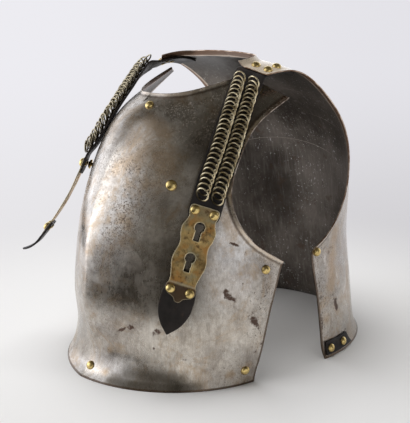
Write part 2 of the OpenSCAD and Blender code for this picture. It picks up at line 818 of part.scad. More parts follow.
// Waist belt stubs on the backplate's lower corners
module left_belt_stub() {
    color(leather) difference() {
        patch(back, [0.985, 0.3], [0.745, 0.3], [0.775, 1.5], [0.975, 1.6], piece_gap, piece_gap + belt_th);
        for (p = belt_places) drill(back, p[0], p[1]);
    }
}
module right_belt_stub() {
    mirror([1, 0, 0]) left_belt_stub();
}
module left_belt_rivets() {
    color(brass) for (p = belt_places) {
        on_skin(back, p[0], p[1]) translate([0, 0, piece_gap + belt_th])
            rivet(back_th + piece_gap + belt_th, flare_seat_gap, 3 * seat_gap);
    }
}
module right_belt_rivets() {
    mirror([1, 0, 0]) left_belt_rivets();
}

breastplate();
breast_rivets();
left_stud();
right_stud();
backplate();
back_rivets();
left_belt_stub();
right_belt_stub();
left_belt_rivets();
right_belt_rivets();
left_strap_root();
left_anchor_rivets();
right_strap_root();
right_anchor_rivets();
left_strap();
left_outer_chain();
left_inner_chain();
left_strap_end();
left_keyhole_plate();
left_upper_rivets();
left_lower_rivets();
left_tongue_root();
left_tongue();
right_strap();
right_outer_chain();
right_inner_chain();
right_strap_end();
right_keyhole_plate();
right_upper_rivets();
right_lower_rivets();
right_tongue_root();
right_tongue();
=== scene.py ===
"""A cavalry cuirass: breastplate, backplate and two chain-covered shoulder straps.

The plates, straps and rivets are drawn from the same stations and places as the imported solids.
"""

import math

import bmesh
import bpy
import numpy as np
from bpy.props import FloatProperty, FloatVectorProperty, PointerProperty
from bpy.types import Operator, Panel, PropertyGroup
from mathutils import Matrix, Vector


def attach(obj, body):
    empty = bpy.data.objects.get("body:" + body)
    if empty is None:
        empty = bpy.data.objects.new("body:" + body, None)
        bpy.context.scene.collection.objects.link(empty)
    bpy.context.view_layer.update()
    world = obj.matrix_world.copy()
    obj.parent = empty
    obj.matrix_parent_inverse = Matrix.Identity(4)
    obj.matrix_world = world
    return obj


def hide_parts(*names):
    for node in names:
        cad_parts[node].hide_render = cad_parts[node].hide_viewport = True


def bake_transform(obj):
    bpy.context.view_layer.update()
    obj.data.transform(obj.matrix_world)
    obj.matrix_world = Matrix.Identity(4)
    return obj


bl_info = {
    "name": "Cavalry cuirass",
    "version": (1, 0, 0),
    "blender": (4, 5, 0),
    "location": "3D View > Sidebar > Cuirass",
    "description": "Builds a steel cuirass with chain-covered shoulder straps",
    "category": "Object",
}

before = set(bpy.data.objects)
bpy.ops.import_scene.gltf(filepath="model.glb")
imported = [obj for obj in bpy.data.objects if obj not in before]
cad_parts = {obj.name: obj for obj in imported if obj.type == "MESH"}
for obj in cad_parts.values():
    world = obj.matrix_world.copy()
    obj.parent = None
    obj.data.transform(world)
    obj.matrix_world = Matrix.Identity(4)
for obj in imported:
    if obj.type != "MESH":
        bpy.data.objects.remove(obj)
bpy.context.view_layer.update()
MM = 0.001


# Curves and surfaces of the plates

def unit(v):
    """Vectors brought to a length of 1."""
    v = np.asarray(v, float)
    return v / np.linalg.norm(v, axis=-1, keepdims=True)


def along(points, t):
    """Smooth curve through a list of points, at places t counted in points."""
    p = np.asarray(points, float)
    n = len(p) - 1
    t = np.clip(np.asarray(t, float), 0, n - 1e-6)
    i = np.floor(t).astype(int)
    f = (t - i)[..., None]
    q = np.vstack([2 * p[0] - p[1], p, 2 * p[n] - p[n - 1]])
    a, b, c, d = q[i], q[i + 1], q[i + 2], q[i + 3]
    square, cube = 2 * a - 5 * b + 4 * c - d, 3 * b - a - 3 * c + d
    return 0.5 * (2 * b + (c - a) * f + square * f * f + cube * f ** 3)


def even_curve(points):
    """Second derivatives of the smoothest curve through a list of points, for bend()."""
    p = np.asarray(points, float)
    n = len(p)
    m = 4 * np.eye(n) + np.eye(n, k=1) + np.eye(n, k=-1)
    m[0, :2], m[-1, -2:] = (1, 0), (0, 1)
    right = np.zeros_like(p)
    right[1:-1] = 6 * (p[2:] - 2 * p[1:-1] + p[:-2])
    return p, np.linalg.solve(m, right)


def bend(curve, t):
    """Places on a curve from even_curve(), at t counted in points."""
    p, second = curve
    t = np.clip(np.asarray(t, float), 0, len(p) - 1 - 1e-6)
    i = np.floor(t).astype(int)
    f = (t - i)[..., None]
    g = 1 - f
    return g * p[i] + f * p[i + 1] + ((g ** 3 - g) * second[i] + (f ** 3 - f) * second[i + 1]) / 6


def distance_to_line(points, line):
    """Shortest distance from each point to a line of straight pieces."""
    best = np.full(points.shape[:-1], 1e9)
    for a, b in zip(line[:-1], line[1:]):
        ab = b - a
        f = np.clip(((points - a) @ ab) / max(ab @ ab, 1e-9), 0, 1)
        best = np.minimum(best, np.linalg.norm(points - a - f[..., None] * ab, axis=-1))
    return best


class Plate:
    """One plate of the cuirass, lofted through stations from its lower edge to the shoulders.

    Each station is [middle y, middle z, side x, side y, side z, sharpness of the middle ridge] in
    millimetres, and a place on the plate is (u, t): u from the middle line to the side edge, and t
    counted in stations.
    """

    nudge = 0.004           # step either way for the direction outwards
    edge_steps = 90         # pieces that an edge is cut into, to measure distances to it
    armpit_curve = 1.6      # how fast the armpit line rises towards the middle
    low_crowding = 1.25     # how the rows below the armpit line crowd towards the foot
    side_crowding = 0.35    # how the columns crowd towards the neck and the armhole

    def __init__(self, stations, spread, facing, thickness, arm, neck, arm_lip, neck_lip):
        self.curve = even_curve(stations)
        self.spread = math.radians(spread)
        self.facing = facing
        self.thickness = thickness
        self.arm, self.neck = arm, neck
        self.arm_lip, self.neck_lip = arm_lip, neck_lip
        self.top = len(stations) - 1

    def skin(self, u, t):
        """The plate's surface, without its turned edges."""
        u = np.asarray(u, float)
        v = bend(self.curve, t)
        across = np.sin(self.spread * u) / math.sin(self.spread)
        round_ = (1 - np.cos(self.spread * u)) / (1 - math.cos(self.spread))
        ridge = v[..., 5]
        y = v[..., 0] + (v[..., 3] - v[..., 0]) * ((1 - ridge) * round_ + ridge * across)
        return np.stack([v[..., 2] * across, y, v[..., 1] + (v[..., 4] - v[..., 1]) * round_], -1)

    def out(self, u, t):
        """The direction outwards."""
        e = self.nudge
        u = np.asarray(u, float)
        t = np.minimum(np.asarray(t, float), self.top - e)
        up = self.skin(u, t + e) - self.skin(u, t - e)
        return unit(self.facing * np.cross(up, self.skin(u + e, t) - self.skin(u - e, t)))

    def edge(self, points, w):
        """Places on the neck's or the armhole's line, at w from 0 to 1."""
        return along(points, np.asarray(w, float) * (len(points) - 1))

    def armpit(self, s):
        """The line from the armhole's lowest place to the neck's."""
        t = self.arm[0][1] + (self.neck[0][1] - self.arm[0][1]) * np.power(1 - s, self.armpit_curve)
        return np.stack([s, t], -1)

    def places(self, s, low, up):
        """Grid of places: rows below the armpit line, then rows between the neck and the armhole."""
        line = self.armpit(s)
        rise = np.power(low, self.low_crowding)[:, None] * line[:, 1]
        below = np.stack([np.broadcast_to(s, rise.shape), rise], -1)
        crowded = s - self.side_crowding * np.sin(2 * np.pi * s) / (2 * np.pi)
        w = up[:, None]
        q = s + (crowded - s) * w
        neck, arm = self.edge(self.neck, up)[:, None], self.edge(self.arm, up)[:, None]
        n0, a0 = np.array(self.neck[0], float), np.array(self.arm[0], float)
        n1, a1 = self.edge(self.neck, 1.0), self.edge(self.arm, 1.0)
        f, g = q[..., None], w[..., None]
        top = n1 + (a1 - n1) * f
        over = neck + (arm - neck) * f + self.armpit(q) * (1 - g) + top * g
        return np.concatenate([below, over - (n0 + (a0 - n0) * f) * (1 - g) - top * g])

    def half(self, s, low, up, lip_width):
        """Points of the left half's outer face and their distance to the armhole and neck edges."""
        c = self.places(s, low, up)
        p = self.skin(c[..., 0], c[..., 1])
        steps = np.linspace(0, 1, self.edge_steps)
        arm, neck = (self.skin(*self.edge(e, steps).T) for e in (self.arm, self.neck))
        to_arm, to_neck = distance_to_line(p, arm), distance_to_line(p, neck)

        def lip(d, height):
            return np.where(d < lip_width, height * (1 - np.minimum(d / lip_width, 1)) ** 2, 0)

        h = np.maximum(lip(to_arm, self.arm_lip), lip(to_neck, self.neck_lip))
        return p + h[..., None] * self.out(c[..., 0], c[..., 1]), np.minimum(to_arm, to_neck)


BREAST = Plate(
    [
        [-1, 0, 175, 178, 0, 0.10], [12, 14, 177, 179, 14, 0.12], [19, 34, 182, 181, 34, 0.16],
        [20, 60, 187, 184, 60, 0.20], [10, 104, 188, 195, 104, 0.25], [12, 158, 185, 216, 158, 0.22],
        [24, 223, 177, 243, 223, 0.14], [53, 297, 167, 271, 278, 0.05], [89, 356, 158, 293, 312, 0],
        [137, 396, 152, 307, 335, 0], [219, 436, 147, 321, 360, 0],
    ],
    86.4, -1, 2.6,
    [
        [1, 5.22], [0.904, 5.43], [0.821, 5.66], [0.752, 5.96], [0.70, 6.31], [0.67, 6.67], [0.663, 7.07],
        [0.669, 7.53], [0.674, 8.04], [0.678, 8.63], [0.688, 9.14], [0.707, 9.57], [0.73, 10],
    ],
    [
        [0, 8.97], [0.079, 8.99], [0.153, 9.05], [0.215, 9.16], [0.263, 9.3], [0.302, 9.46], [0.338, 9.63],
        [0.372, 9.8], [0.40, 10],
    ],
    3, 4,
)
BACK = Plate(
    [
        [514, 0, 189, 314, 0, 0], [505, 14, 185, 311, 14, 0], [499, 34, 184, 308, 34, 0],
        [495, 59, 183, 305, 60, 0], [489, 113, 180, 297, 116, 0], [483, 175, 177, 289, 175, 0],
        [471, 247, 182, 302, 243, 0], [439, 328, 182, 313, 345, 0], [365, 400, 173, 304, 397, 0],
        [284, 445, 165, 285, 411, 0], [214, 447, 155, 267, 400, 0],
    ],
    90, 1, 1.8,
    [
        [1, 4.99], [0.915, 5.22], [0.842, 5.5], [0.777, 5.81], [0.717, 6.13], [0.671, 6.43], [0.638, 6.74],
        [0.612, 7.11], [0.598, 7.48], [0.605, 7.86], [0.624, 8.29], [0.64, 8.77], [0.647, 9.36], [0.63, 10],
    ],
    [[0, 9.11], [0.1, 9.12], [0.2, 9.15], [0.29, 9.22], [0.35, 9.42], [0.38, 9.68], [0.385, 10]],
    2, 6,
)
BENT_SHOULDER = 24
LIP_WIDTH = 9

# Marks of wear, painted shade and painted light on the plates: a point or a line of points in millimetres,
# and the mark's reach.
# A dent is its place, its reach and its depth.
BREAST_MARKS = {
    "rust": [
        [(163, 134, 143), (166, 138, 134), (169, 142, 130), 8], [(165, 133, 135), (170, 138, 139), 6.5],
        [(182, 166, 104), (184, 169, 95), (186, 174, 86), 10], [(150, 108, 121), 4],
        [(172, 157, 149), (176, 160, 156), 4], [(156, 147, 207), (161, 157, 202), 4], [(132, 84, 46), 4],
        [(159, 119, 111), 4], [(187, 182, 59), 7], [(184, 171, 50), 6],
        [(51, 32, 77), (63, 37, 84), (76, 42, 88), 5], [(98, 56, 80), (105, 61, 85), 7],
        [(99, 58, 58), 5], [(119, 72, 81), 4],
    ],
    "golden": [
        [(34, 106, 368), (67, 107, 348), 26], [(20, 60, 300), (60, 80, 330), 24], [(149, 100, 11), 16],
        [(169, 138, 20), 16], [(179, 163, 31), 16], [(42, 31, 196), 12], [(30, 35, 233), 13],
        [(45, 53, 268), 12], [(-33, 27, 192), 16], [(-70, 39, 135), 14], [(35, 18, 13), 14],
        [(35, 28, 44), 14], [(-33, 27, 150), (-30, 24, 215), 10], [(186, 184, 130), (184, 190, 190), 7],
    ],
    # Painted shade and painted dark reflections; the straps' and keyhole plates' painted shadows are added
    # to these in the breastplate's operator
    "dark": [
        [(100, 145, 330), (112, 210, 362), (112, 290, 372), 60], [(130, 92, 200), (128, 75, 130), 50],
        [*BREAST.skin(np.linspace(0.20, 0.66, 10), np.full(10, 0.5)), 19],
        [*BREAST.skin(np.linspace(0.26, 0.56, 8), np.full(8, 1.2)), 20],
    ],
    "pits": [
        [(183, 191, 145), 7], [(184, 186, 137), 7], [(60, 40, 215), (75, 60, 290), 34],
        [(30, 30, 170), (50, 50, 240), 30],
    ],
}
BREAST_DENTS = (
    ((63, 37, 82), 7, 0.5), ((101, 58, 82), 7, 0.6), ((99, 58, 58), 5, 0.4), ((119, 72, 81), 5, 0.4),
)
BACK_MARKS = {
    "rust": [
        [(177, 345, 84), (178, 350, 70), 9], [(172, 377, 25), 8], [(93, 440, 280), 3.2],
        [(180, 320, 130), (181, 316, 120), 6], [(181, 308, 150), (182, 309, 110), 4],
        [(183, 308, 70), (183, 309, 45), 4.5], [(177, 352, 108), 5], [(176, 330, 160), (174, 345, 172), 8],
        [(178, 318, 205), 7], [(176, 350, 128), 6],
    ],
    "golden": [[(181, 330, 20), 26], [(176, 335, 110), (174, 350, 190), 30], [(180, 320, 60), 24]],
    "pits": [[(181, 304, 130), (183, 308, 40), 12], [(-31, 468, 247), 40]],
}


# Routes of the shoulder straps

LEATHER = 3.0
STRAP_WIDTH = 44.0
PIECE_GAP = 0.35
STRAP_START = 0.5025             # where the strap leaves the back's shoulder, across it
SHOULDER_SIDES = (0.385, 0.62)   # the shoulder's inner and outer place
STRAP_AHEAD = 3.1                # from the shoulder's front edge to the strap's first point
STRAP_STEPS = 42


class Strap:
    """A shoulder strap: its line over the breast and the flat keyhole plate at its end, all worked
    out on the left side. The right strap is turned over to its side at the end."""

    def __init__(self, side, places, top, foot, lean, bow, curl, dip, tongue):
        self.side = side
        self.flip = np.array([1.0 if side == "left" else -1.0, 1, 1])
        self.bow, self.curl, self.dip, self.tongue_length = bow, curl, math.radians(dip), tongue
        chord = unit(BREAST.skin(*foot) - BREAST.skin(*top))
        middle = (np.array(top) + np.array(foot)) / 2
        across = unit(np.cross(BREAST.out(*middle), chord))
        square = np.cross(chord, across)
        c, s = math.cos(math.radians(lean)), math.sin(math.radians(lean))
        self.axes = [across, c * chord + s * square, c * square - s * chord]
        self.lay_out(places)

    def lay_out(self, places):
        """Lays the strap's frames from the shoulder over places [u, t, height over the breast]."""
        def lying(q):
            return BREAST.skin(q[0], q[1]) + (LEATHER / 2 + q[2]) * BREAST.out(q[0], q[1])

        under = BACK.skin(STRAP_START, 10) - (BACK.thickness + PIECE_GAP) * BACK.out(STRAP_START, 10)
        inner, outer = SHOULDER_SIDES
        width = unit(BACK.skin(outer, 10) - BACK.skin(inner, 10))
        ahead = unit(BACK.skin(STRAP_START, 10) - BACK.skin(STRAP_START, 9.9))
        top = under + STRAP_AHEAD * ahead
        square = unit(np.cross(unit(lying(places[0]) - top), width))
        line = [lying(q) for q in places]
        run_on = line[-2] + 2 * np.linalg.norm(line[-1] - line[-2]) * self.axes[1]
        points = np.array([top - LEATHER / 2 * square] + line + [run_on])
        widths = [width]
        for k, q in enumerate(places[:-1]):
            widths.append(unit(np.cross(BREAST.out(q[0], q[1]), unit(points[k + 2] - points[k]))))
        widths += [self.axes[0], self.axes[0]]
        last = len(points) - 2
        t = last * np.arange(STRAP_STEPS + 1) / STRAP_STEPS
        ahead = unit(along(points, t + 0.01) - along(points, np.maximum(t - 0.01, 0)))
        out = unit(np.cross(ahead, along(np.array(widths), t)))
        self.middle, self.across, self.up, self.out = along(points, t), np.cross(out, ahead), -ahead, out
        self.origin = self.middle[-1] + LEATHER / 2 * self.axes[2]
        self.turn = np.array([self.axes[0], -self.axes[1], self.axes[2]]).T

    def beside(self, x):
        """Frames of a line that runs beside the strap's middle."""
        p = self.middle + x * self.across
        n = len(p) - 1
        up = np.array([unit(p[max(k - 1, 0)] - p[min(k + 1, n)]) for k in range(n + 1)])
        out = unit(np.cross(self.across, up))
        return p, np.cross(up, out), up, out

    def on_plate(self, x, s, z):
        """A point across, down and out from the hinge line, on the keyhole plate's arc."""
        a = s / self.bow
        p = np.stack([x, -(self.bow - z) * np.sin(a), self.bow - (self.bow - z) * np.cos(a)], -1)
        return (self.origin + p @ self.turn.T) * self.flip

    def on_tongue(self, x, s, z):
        """A point on the tongue, s below its bend."""
        a = s / self.curl
        y, h = -(self.curl - z) * np.sin(a), self.curl - (self.curl - z) * np.cos(a)
        c, d = math.cos(self.dip), math.sin(self.dip)
        y, h = c * y - d * h, d * y + c * h
        b = (TONGUE_FROM + LEATHER * d) / self.bow
        q = np.stack([
            x,
            -self.bow * math.sin(b) + math.cos(b) * y + math.sin(b) * h,
            self.bow * (1 - math.cos(b)) - math.sin(b) * y + math.cos(b) * h,
        ], -1)
        return (self.origin + q @ self.turn.T) * self.flip


# Distances down the keyhole plate from the strap's last point, and the plate's gap and thickness
UPPER_RIVETS, LOWER_RIVETS = 10, 120
KEYHOLES = (37, 80)
TONGUE_FROM = LOWER_RIVETS + 17 + PIECE_GAP
PLATE_GAP, PLATE_THICK = 0.1, 1.5

STRAPS = {
    "left": Strap(
        "left",
        [
            [0.50, 9.52, 8.8], [0.55, 8.98, 3], [0.58, 8.35, 2.6], [0.59, 7.6, 3.2], [0.58, 7.01, 3.6],
            [0.57, 6.5, 3.5],
        ],
        [0.57, 6.34], [0.49, 4.74], 0, 900, 500, 0, 43,
    ),
    "right": Strap(
        "right",
        [
            [0.462, 9.6, 26], [0.425, 9.2, 16.5], [0.388, 8.8, 7.2], [0.36, 8.4, 2.2], [0.355, 8, 1],
            [0.355, 7.6, 1.2], [0.355, 7.3, 4.4], [0.355, 7.02, 10],
        ],
        [0.355, 7.08], [0.355, 6.5], 1, 350, 44, 8, 36,
    ),
}


def frame_along(line, s):
    """The frame at a distance s along a line of frames."""
    run = np.r_[0, np.cumsum(np.linalg.norm(np.diff(line[0], axis=0), axis=1))]
    i = int(np.clip(np.searchsorted(run, s) - 1, 0, len(run) - 2))
    f = (s - run[i]) / (run[i + 1] - run[i])
    p = line[0][i] + (line[0][i + 1] - line[0][i]) * f
    up, out = (unit(line[k][i] + (line[k][i + 1] - line[k][i]) * f) for k in (2, 3))
    x = unit(np.cross(up, out))
    return p, x, np.cross(out, x), out


def line_length(line):
    return np.linalg.norm(np.diff(line[0], axis=0), axis=1).sum()


# Meshes

def new_object(name, mesh):
    piece = bpy.data.objects.new(name, mesh)
    bpy.context.scene.collection.objects.link(piece)
    return piece


def mesh_piece(name, points, faces, materials, indices=None, sharp=(), smooth=True):
    """An object from points in millimetres."""
    mesh = bpy.data.meshes.new(name)
    mesh.from_pydata((np.asarray(points, float) * MM).tolist(), [], faces)
    for material in materials:
        mesh.materials.append(material)
    if indices is not None:
        mesh.polygons.foreach_set("material_index", indices)
    mesh.polygons.foreach_set("use_smooth", [smooth] * len(mesh.polygons))
    if len(sharp):
        wanted = {tuple(sorted(e)) for e in sharp}
        for edge in mesh.edges:
            if tuple(sorted(edge.vertices)) in wanted:
                edge.use_edge_sharp = True
    mesh.update()
    return new_object(name, mesh)


def settle(piece):
    """Turns a piece and its modifiers into a plain mesh."""
    bpy.context.view_layer.update()
    evaluated = piece.evaluated_get(bpy.context.evaluated_depsgraph_get())
    mesh = bpy.data.meshes.new_from_object(evaluated)
    piece.modifiers.clear()
    old, piece.data = piece.data, mesh
    mesh.name = piece.name
    if old.users == 0:
        bpy.data.meshes.remove(old)
    return piece


def bevelled(piece, width):
    """Rounds a piece's sharp edges."""
    bevel = piece.modifiers.new("Soft edges", "BEVEL")
    bevel.width = width * MM
    bevel.segments = 2
    bevel.limit_method = "ANGLE"
    bevel.angle_limit = math.radians(40)
    return settle(piece)


def mark(mesh, name, values):
    """Keeps a number for each point, for the finishes to read."""
    attribute = mesh.attributes.new(name, "FLOAT", "POINT")
    attribute.data.foreach_set("value", np.asarray(values, np.float32))


def grid_faces(rows, cols, base, turned):
    a = (np.arange(rows - 1)[:, None] * cols + np.arange(cols - 1)).ravel() + base
    quads = np.stack([a, a + 1, a + cols + 1, a + cols], -1)
    return (quads[:, ::-1] if turned else quads).tolist()


def slab(name, low, high, materials, turned=False):
    """A closed slab between two grids of points that match row for row."""
    rows, cols = low.shape[:2]
    n = rows * cols
    faces = grid_faces(rows, cols, 0, turned) + grid_faces(rows, cols, n, not turned)
    right, top = cols - 1, (rows - 1) * cols
    ring = [
        *range(right), *range(right, right + top, cols), *range(top + right, top, -1), *range(top, 0, -cols),
    ]
    for p, q in zip(ring, ring[1:] + ring[:1]):
        side = [p + n, q + n, q, p]
        faces.append(side[::-1] if turned else side)
    points = np.concatenate([high.reshape(-1, 3), low.reshape(-1, 3)])
    return mesh_piece(name, points, faces, materials)


COLUMNS, LOW_ROWS, HIGH_ROWS = 61, 85, 78    # a plate's points across its half and up it
RIM_ROWS = 4                                 # rows of points round a plate's edge
RIM_BULGE = 0.7                              # how far the edge stands out, against half the thickness
SEAM_REACH, SEAM_POINTS = 7, 24
BOTH_SIDES = ([1, 1, 1], [-1, 1, 1])


def edge_loop(rows, cols, split):
    """The points once round a plate's edge: (side, column, row)."""
    return (
        [(1, i, 0) for i in range(cols - 1, 0, -1)] + [(0, i, 0) for i in range(cols)]
        + [(0, cols - 1, j) for j in range(1, rows)] + [(0, i, rows - 1) for i in range(cols - 2, -1, -1)]
        + [(0, 0, j) for j in range(rows - 2, split - 1, -1)] + [(1, 0, j) for j in range(split + 1, rows)]
        + [(1, i, rows - 1) for i in range(1, cols)] + [(1, cols - 1, j) for j in range(rows - 2, 0, -1)]
    )


def mark_wear(mesh, points, plate, marks):
    """Keeps the marks of wear, painted shade and painted light, and the seams along the side edges and the
    foot, browned and darkened with painted shade.
    """
    side, foot = np.linspace(0, plate.arm[0][1], SEAM_POINTS), np.linspace(0, 1, SEAM_POINTS)
    seams = [plate.skin(np.ones(SEAM_POINTS), side), plate.skin(foot, np.zeros(SEAM_POINTS))]
    seams = [[*(line * flip), SEAM_REACH] for line in seams for flip in BOTH_SIDES]
    for kind, places in {**marks, "seam": seams}.items():
        amount = np.zeros(len(points))
        for *line, radius in places:
            line = np.array(line if len(line) > 1 else line * 2, float)
            amount = np.maximum(amount, 1 - distance_to_line(points, line) / radius)
        mark(mesh, kind, np.clip(amount, 0, 1))


def plate_sheet(name, plate, shoulder_lift, materials, marks, dents=()):
    """A whole plate: both halves, its outer and inner faces and the rounded edge between them."""
    s = np.linspace(0, 1, COLUMNS)
    low = np.linspace(0, 1, LOW_ROWS)
    up = np.linspace(0, 1, HIGH_ROWS + 1)[1:]
    outer, reach = plate.half(s, low, up, LIP_WIDTH)
    rows, cols, split = len(outer), len(s), len(low) - 1
    mirrored = outer * [-1, 1, 1]
    lift = np.r_[np.zeros(len(low)), shoulder_lift * up ** 3]
    mirrored[..., 2] += lift[:, None] * s
    for place, radius, depth in dents:
        for half in (outer, mirrored):
            d = np.linalg.norm(half - np.array(place), axis=-1)
            half[..., 1] += plate.facing * -depth * np.exp(-(d / radius) ** 2)

    def normals(g, other, side):
        """Directions outwards at a half's points, smooth across the middle line."""
        left = np.empty_like(g)
        left[:, 1:] = g[:, :-1]
        left[:split + 1, 0] = other[:split + 1, 1]
        left[split + 1:, 0] = g[split + 1:, 0]
        right = np.concatenate([g[:, 1:], g[:, -1:]], 1)
        under = np.concatenate([g[:1], g[:-1]])
        over = np.concatenate([g[1:], g[-1:]])
        n = unit(side * plate.facing * np.cross(over - under, right - left))
        n[0, :, 2] = 0
        return unit(n)

    layers = []
    for g, other, side in ((outer, mirrored, 1), (mirrored, outer, -1)):
        n = normals(g, other, side)
        layers.append((g, g - plate.thickness * n, n))

    ids, points, reaches = {}, [], []
    for layer in (0, 1):
        for side in (0, 1):
            g = layers[side][layer]
            index = np.arange(rows * cols).reshape(rows, cols) + sum(len(p) for p in points)
            if side == 1:
                index[:split + 1, 0] = ids[layer, 0][:split + 1, 0]
            ids[layer, side] = index
            points.append(g.reshape(-1, 3))
            reaches.append(reach.ravel())
    faces, indices = [], []
    for (layer, side), index in ids.items():
        corners = [index[:-1, :-1], index[:-1, 1:], index[1:, 1:], index[1:, :-1]]
        quads = np.stack(corners, -1).reshape(-1, 4)
        turned = (plate.facing > 0) ^ (layer == 1) ^ (side == 1)
        faces += (quads[:, ::-1] if turned else quads).tolist()
        indices += [layer] * len(quads)

    def away(side, i, j):
        """The direction out of the plate's edge, along its surface."""
        g, d = layers[side][0], np.zeros(3)
        if i == cols - 1:
            d += unit(g[j, i] - g[j, i - 1])
        if i == 0 and j > split:
            d += unit(g[j, 0] - g[j, 1])
        if j == 0:
            d += np.array([0, 0, -1.0])
        if j == rows - 1:
            d += unit(g[j, i] - g[j - 1, i])
        if j == split and i == 0:
            d += unit(g[split, 0] - g[split - 1, 0])
        return unit(d)

    loop = edge_loop(rows, cols, split)
    n, count, r = len(loop), sum(len(p) for p in points), plate.thickness / 2
    angles = [math.pi * k / (RIM_ROWS + 1) for k in range(1, RIM_ROWS + 1)]
    for side, i, j in loop:
        a, b, up = (layers[side][k][j, i] for k in range(3))
        centre, d = (a + b) / 2, away(side, i, j)
        rim = [centre + r * math.cos(t) * up + RIM_BULGE * r * math.sin(t) * d for t in angles]
        points.append(np.array(rim))
        reaches.append(np.zeros(RIM_ROWS))
    outer_ring, inner_ring = ([int(ids[layer, side][j, i]) for side, i, j in loop] for layer in (0, 1))
    between = [[count + RIM_ROWS * k + c for k in range(n)] for c in range(RIM_ROWS)]
    columns = [outer_ring, *between, inner_ring]
    for first, second in zip(columns, columns[1:]):
        for k in range(n):
            m = (k + 1) % n
            quad = [first[k], second[k], second[m], first[m]]
            faces.append(quad[::-1] if plate.facing > 0 else quad)
            indices.append(2)
    sharp = [(ring[k], ring[(k + 1) % n]) for ring in (outer_ring, inner_ring) for k in range(n)]
    points = np.concatenate(points)
    points[:, 2] = np.maximum(points[:, 2], 0)
    piece = mesh_piece(name, points, faces, materials, indices, sharp)
    mark(piece.data, "edge", np.concatenate(reaches) * MM)
    mark_wear(piece.data, points, plate, marks)
    work = bmesh.new()
    work.from_mesh(piece.data)
    bmesh.ops.delete(work, geom=[v for v in work.verts if not v.link_faces], context="VERTS")
    work.to_mesh(piece.data)
    work.free()
    return piece


def turned_shape(name, profile, material, around=26):
    """A round shape from its profile [radius, height], from the foot to the crown."""
    angles = np.linspace(0, 2 * np.pi, around, endpoint=False)
    points = [[r * math.cos(a), r * math.sin(a), z] for r, z in profile[:-1] for a in angles]
    points.append([0, 0, profile[-1][1]])
    top = (len(profile) - 2) * around
    step = [(m, (m + 1) % around) for m in range(around)]
    faces = [[k + m, k + q, k + around + q, k + around + m] for k in range(0, top, around) for m, q in step]
    faces += [[top + m, top + q, len(points) - 1] for m, q in step]
    faces.append(list(range(around))[::-1])
    return mesh_piece(name, points, faces, [material])


HOLE_RIM = 0.9           # distance from a hole's edge to the crest of its raised rim, and its width
CREASED = math.radians(50)
WELD = 1e-4


def flat_piece(name, outline, holes, low, high, warp, materials, bevel=0.35, step=2.2, rim=0.0):
    """A flat outline [distance, half width] with holes, given thickness and soft edges, cut into
    narrow strips and laid along a curve by warp(x, s, z). rim is the height of the holes' rims."""
    curve = bpy.data.curves.new(name, "CURVE")
    curve.dimensions = "2D"
    curve.fill_mode = "BOTH"
    curve.extrude = (high - low) / 2 - bevel
    curve.bevel_depth = bevel
    curve.bevel_resolution = 2
    fine = along(outline, np.linspace(0, len(outline) - 1, 5 * (len(outline) - 1) + 1))
    border = [(w, s) for s, w in fine] + [(-w, s) for s, w in fine[::-1]]
    loops = [np.array(loop) for loop in (border, *holes)]
    for k, loop in enumerate(loops):
        edge = np.roll(loop, -1, 0) - np.roll(loop, 1, 0)
        inward = unit(np.stack([-edge[:, 1], edge[:, 0]], -1))
        area = np.sum(loop[:, 0] * np.roll(loop[:, 1], -1) - loop[:, 1] * np.roll(loop[:, 0], -1))
        inset = loop + bevel * inward * (1 if (area > 0) == (k == 0) else -1)
        spline = curve.splines.new("POLY")
        spline.points.add(len(inset) - 1)
        for point, (x, s) in zip(spline.points, inset):
            point.co = (x, s, 0, 1)
        spline.use_cyclic_u = True
    piece = new_object(name, curve)
    bpy.context.view_layer.update()
    mesh = bpy.data.meshes.new_from_object(piece.evaluated_get(bpy.context.evaluated_depsgraph_get()))
    bpy.data.objects.remove(piece)
    bpy.data.curves.remove(curve)
    work = bmesh.new()
    work.from_mesh(mesh)
    bmesh.ops.remove_doubles(work, verts=work.verts, dist=WELD)
    reach = np.array([v.co[:2] for v in work.verts])
    for normal, first, last in zip(((1, 0, 0), (0, 1, 0)), reach.min(axis=0), reach.max(axis=0)):
        for at in np.arange(first + step, last, step):
            geometry = work.verts[:] + work.edges[:] + work.faces[:]
            place = Vector(normal) * at
            bmesh.ops.bisect_plane(work, geom=geometry, plane_co=place, plane_no=normal, dist=WELD)
    bmesh.ops.remove_doubles(work, verts=work.verts, dist=WELD)
    bmesh.ops.recalc_face_normals(work, faces=work.faces)
    flat = np.array([v.co for v in work.verts])
    closed = [np.vstack([loop, loop[:1]]) for loop in loops]
    to_edge = np.min([distance_to_line(flat[:, :2], loop) for loop in closed], axis=0)
    raised = np.zeros(len(flat))
    if rim and len(holes):
        to_hole = np.min([distance_to_line(flat[:, :2], loop) for loop in closed[1:]], axis=0)
        raised = rim * np.exp(-((to_hole - HOLE_RIM) / HOLE_RIM) ** 2) * (flat[:, 2] > 0)
    placed = warp(flat[:, 0], flat[:, 1], flat[:, 2] + (low + high) / 2 + raised)
    for vertex, point in zip(work.verts, placed * MM):
        vertex.co = point
    bmesh.ops.recalc_face_normals(work, faces=work.faces)
    for face in work.faces:
        face.smooth = True
    for edge in work.edges:
        if len(edge.link_faces) == 2 and edge.calc_face_angle(0) > CREASED:
            edge.smooth = False
    work.to_mesh(mesh)
    work.free()
    mark(mesh, "edge", to_edge * MM)
    mark(mesh, "down", flat[:, 1] * MM)
    mesh.name = name
    for material in materials:
        mesh.materials.append(material)
    return new_object(name, mesh)


# Node trees

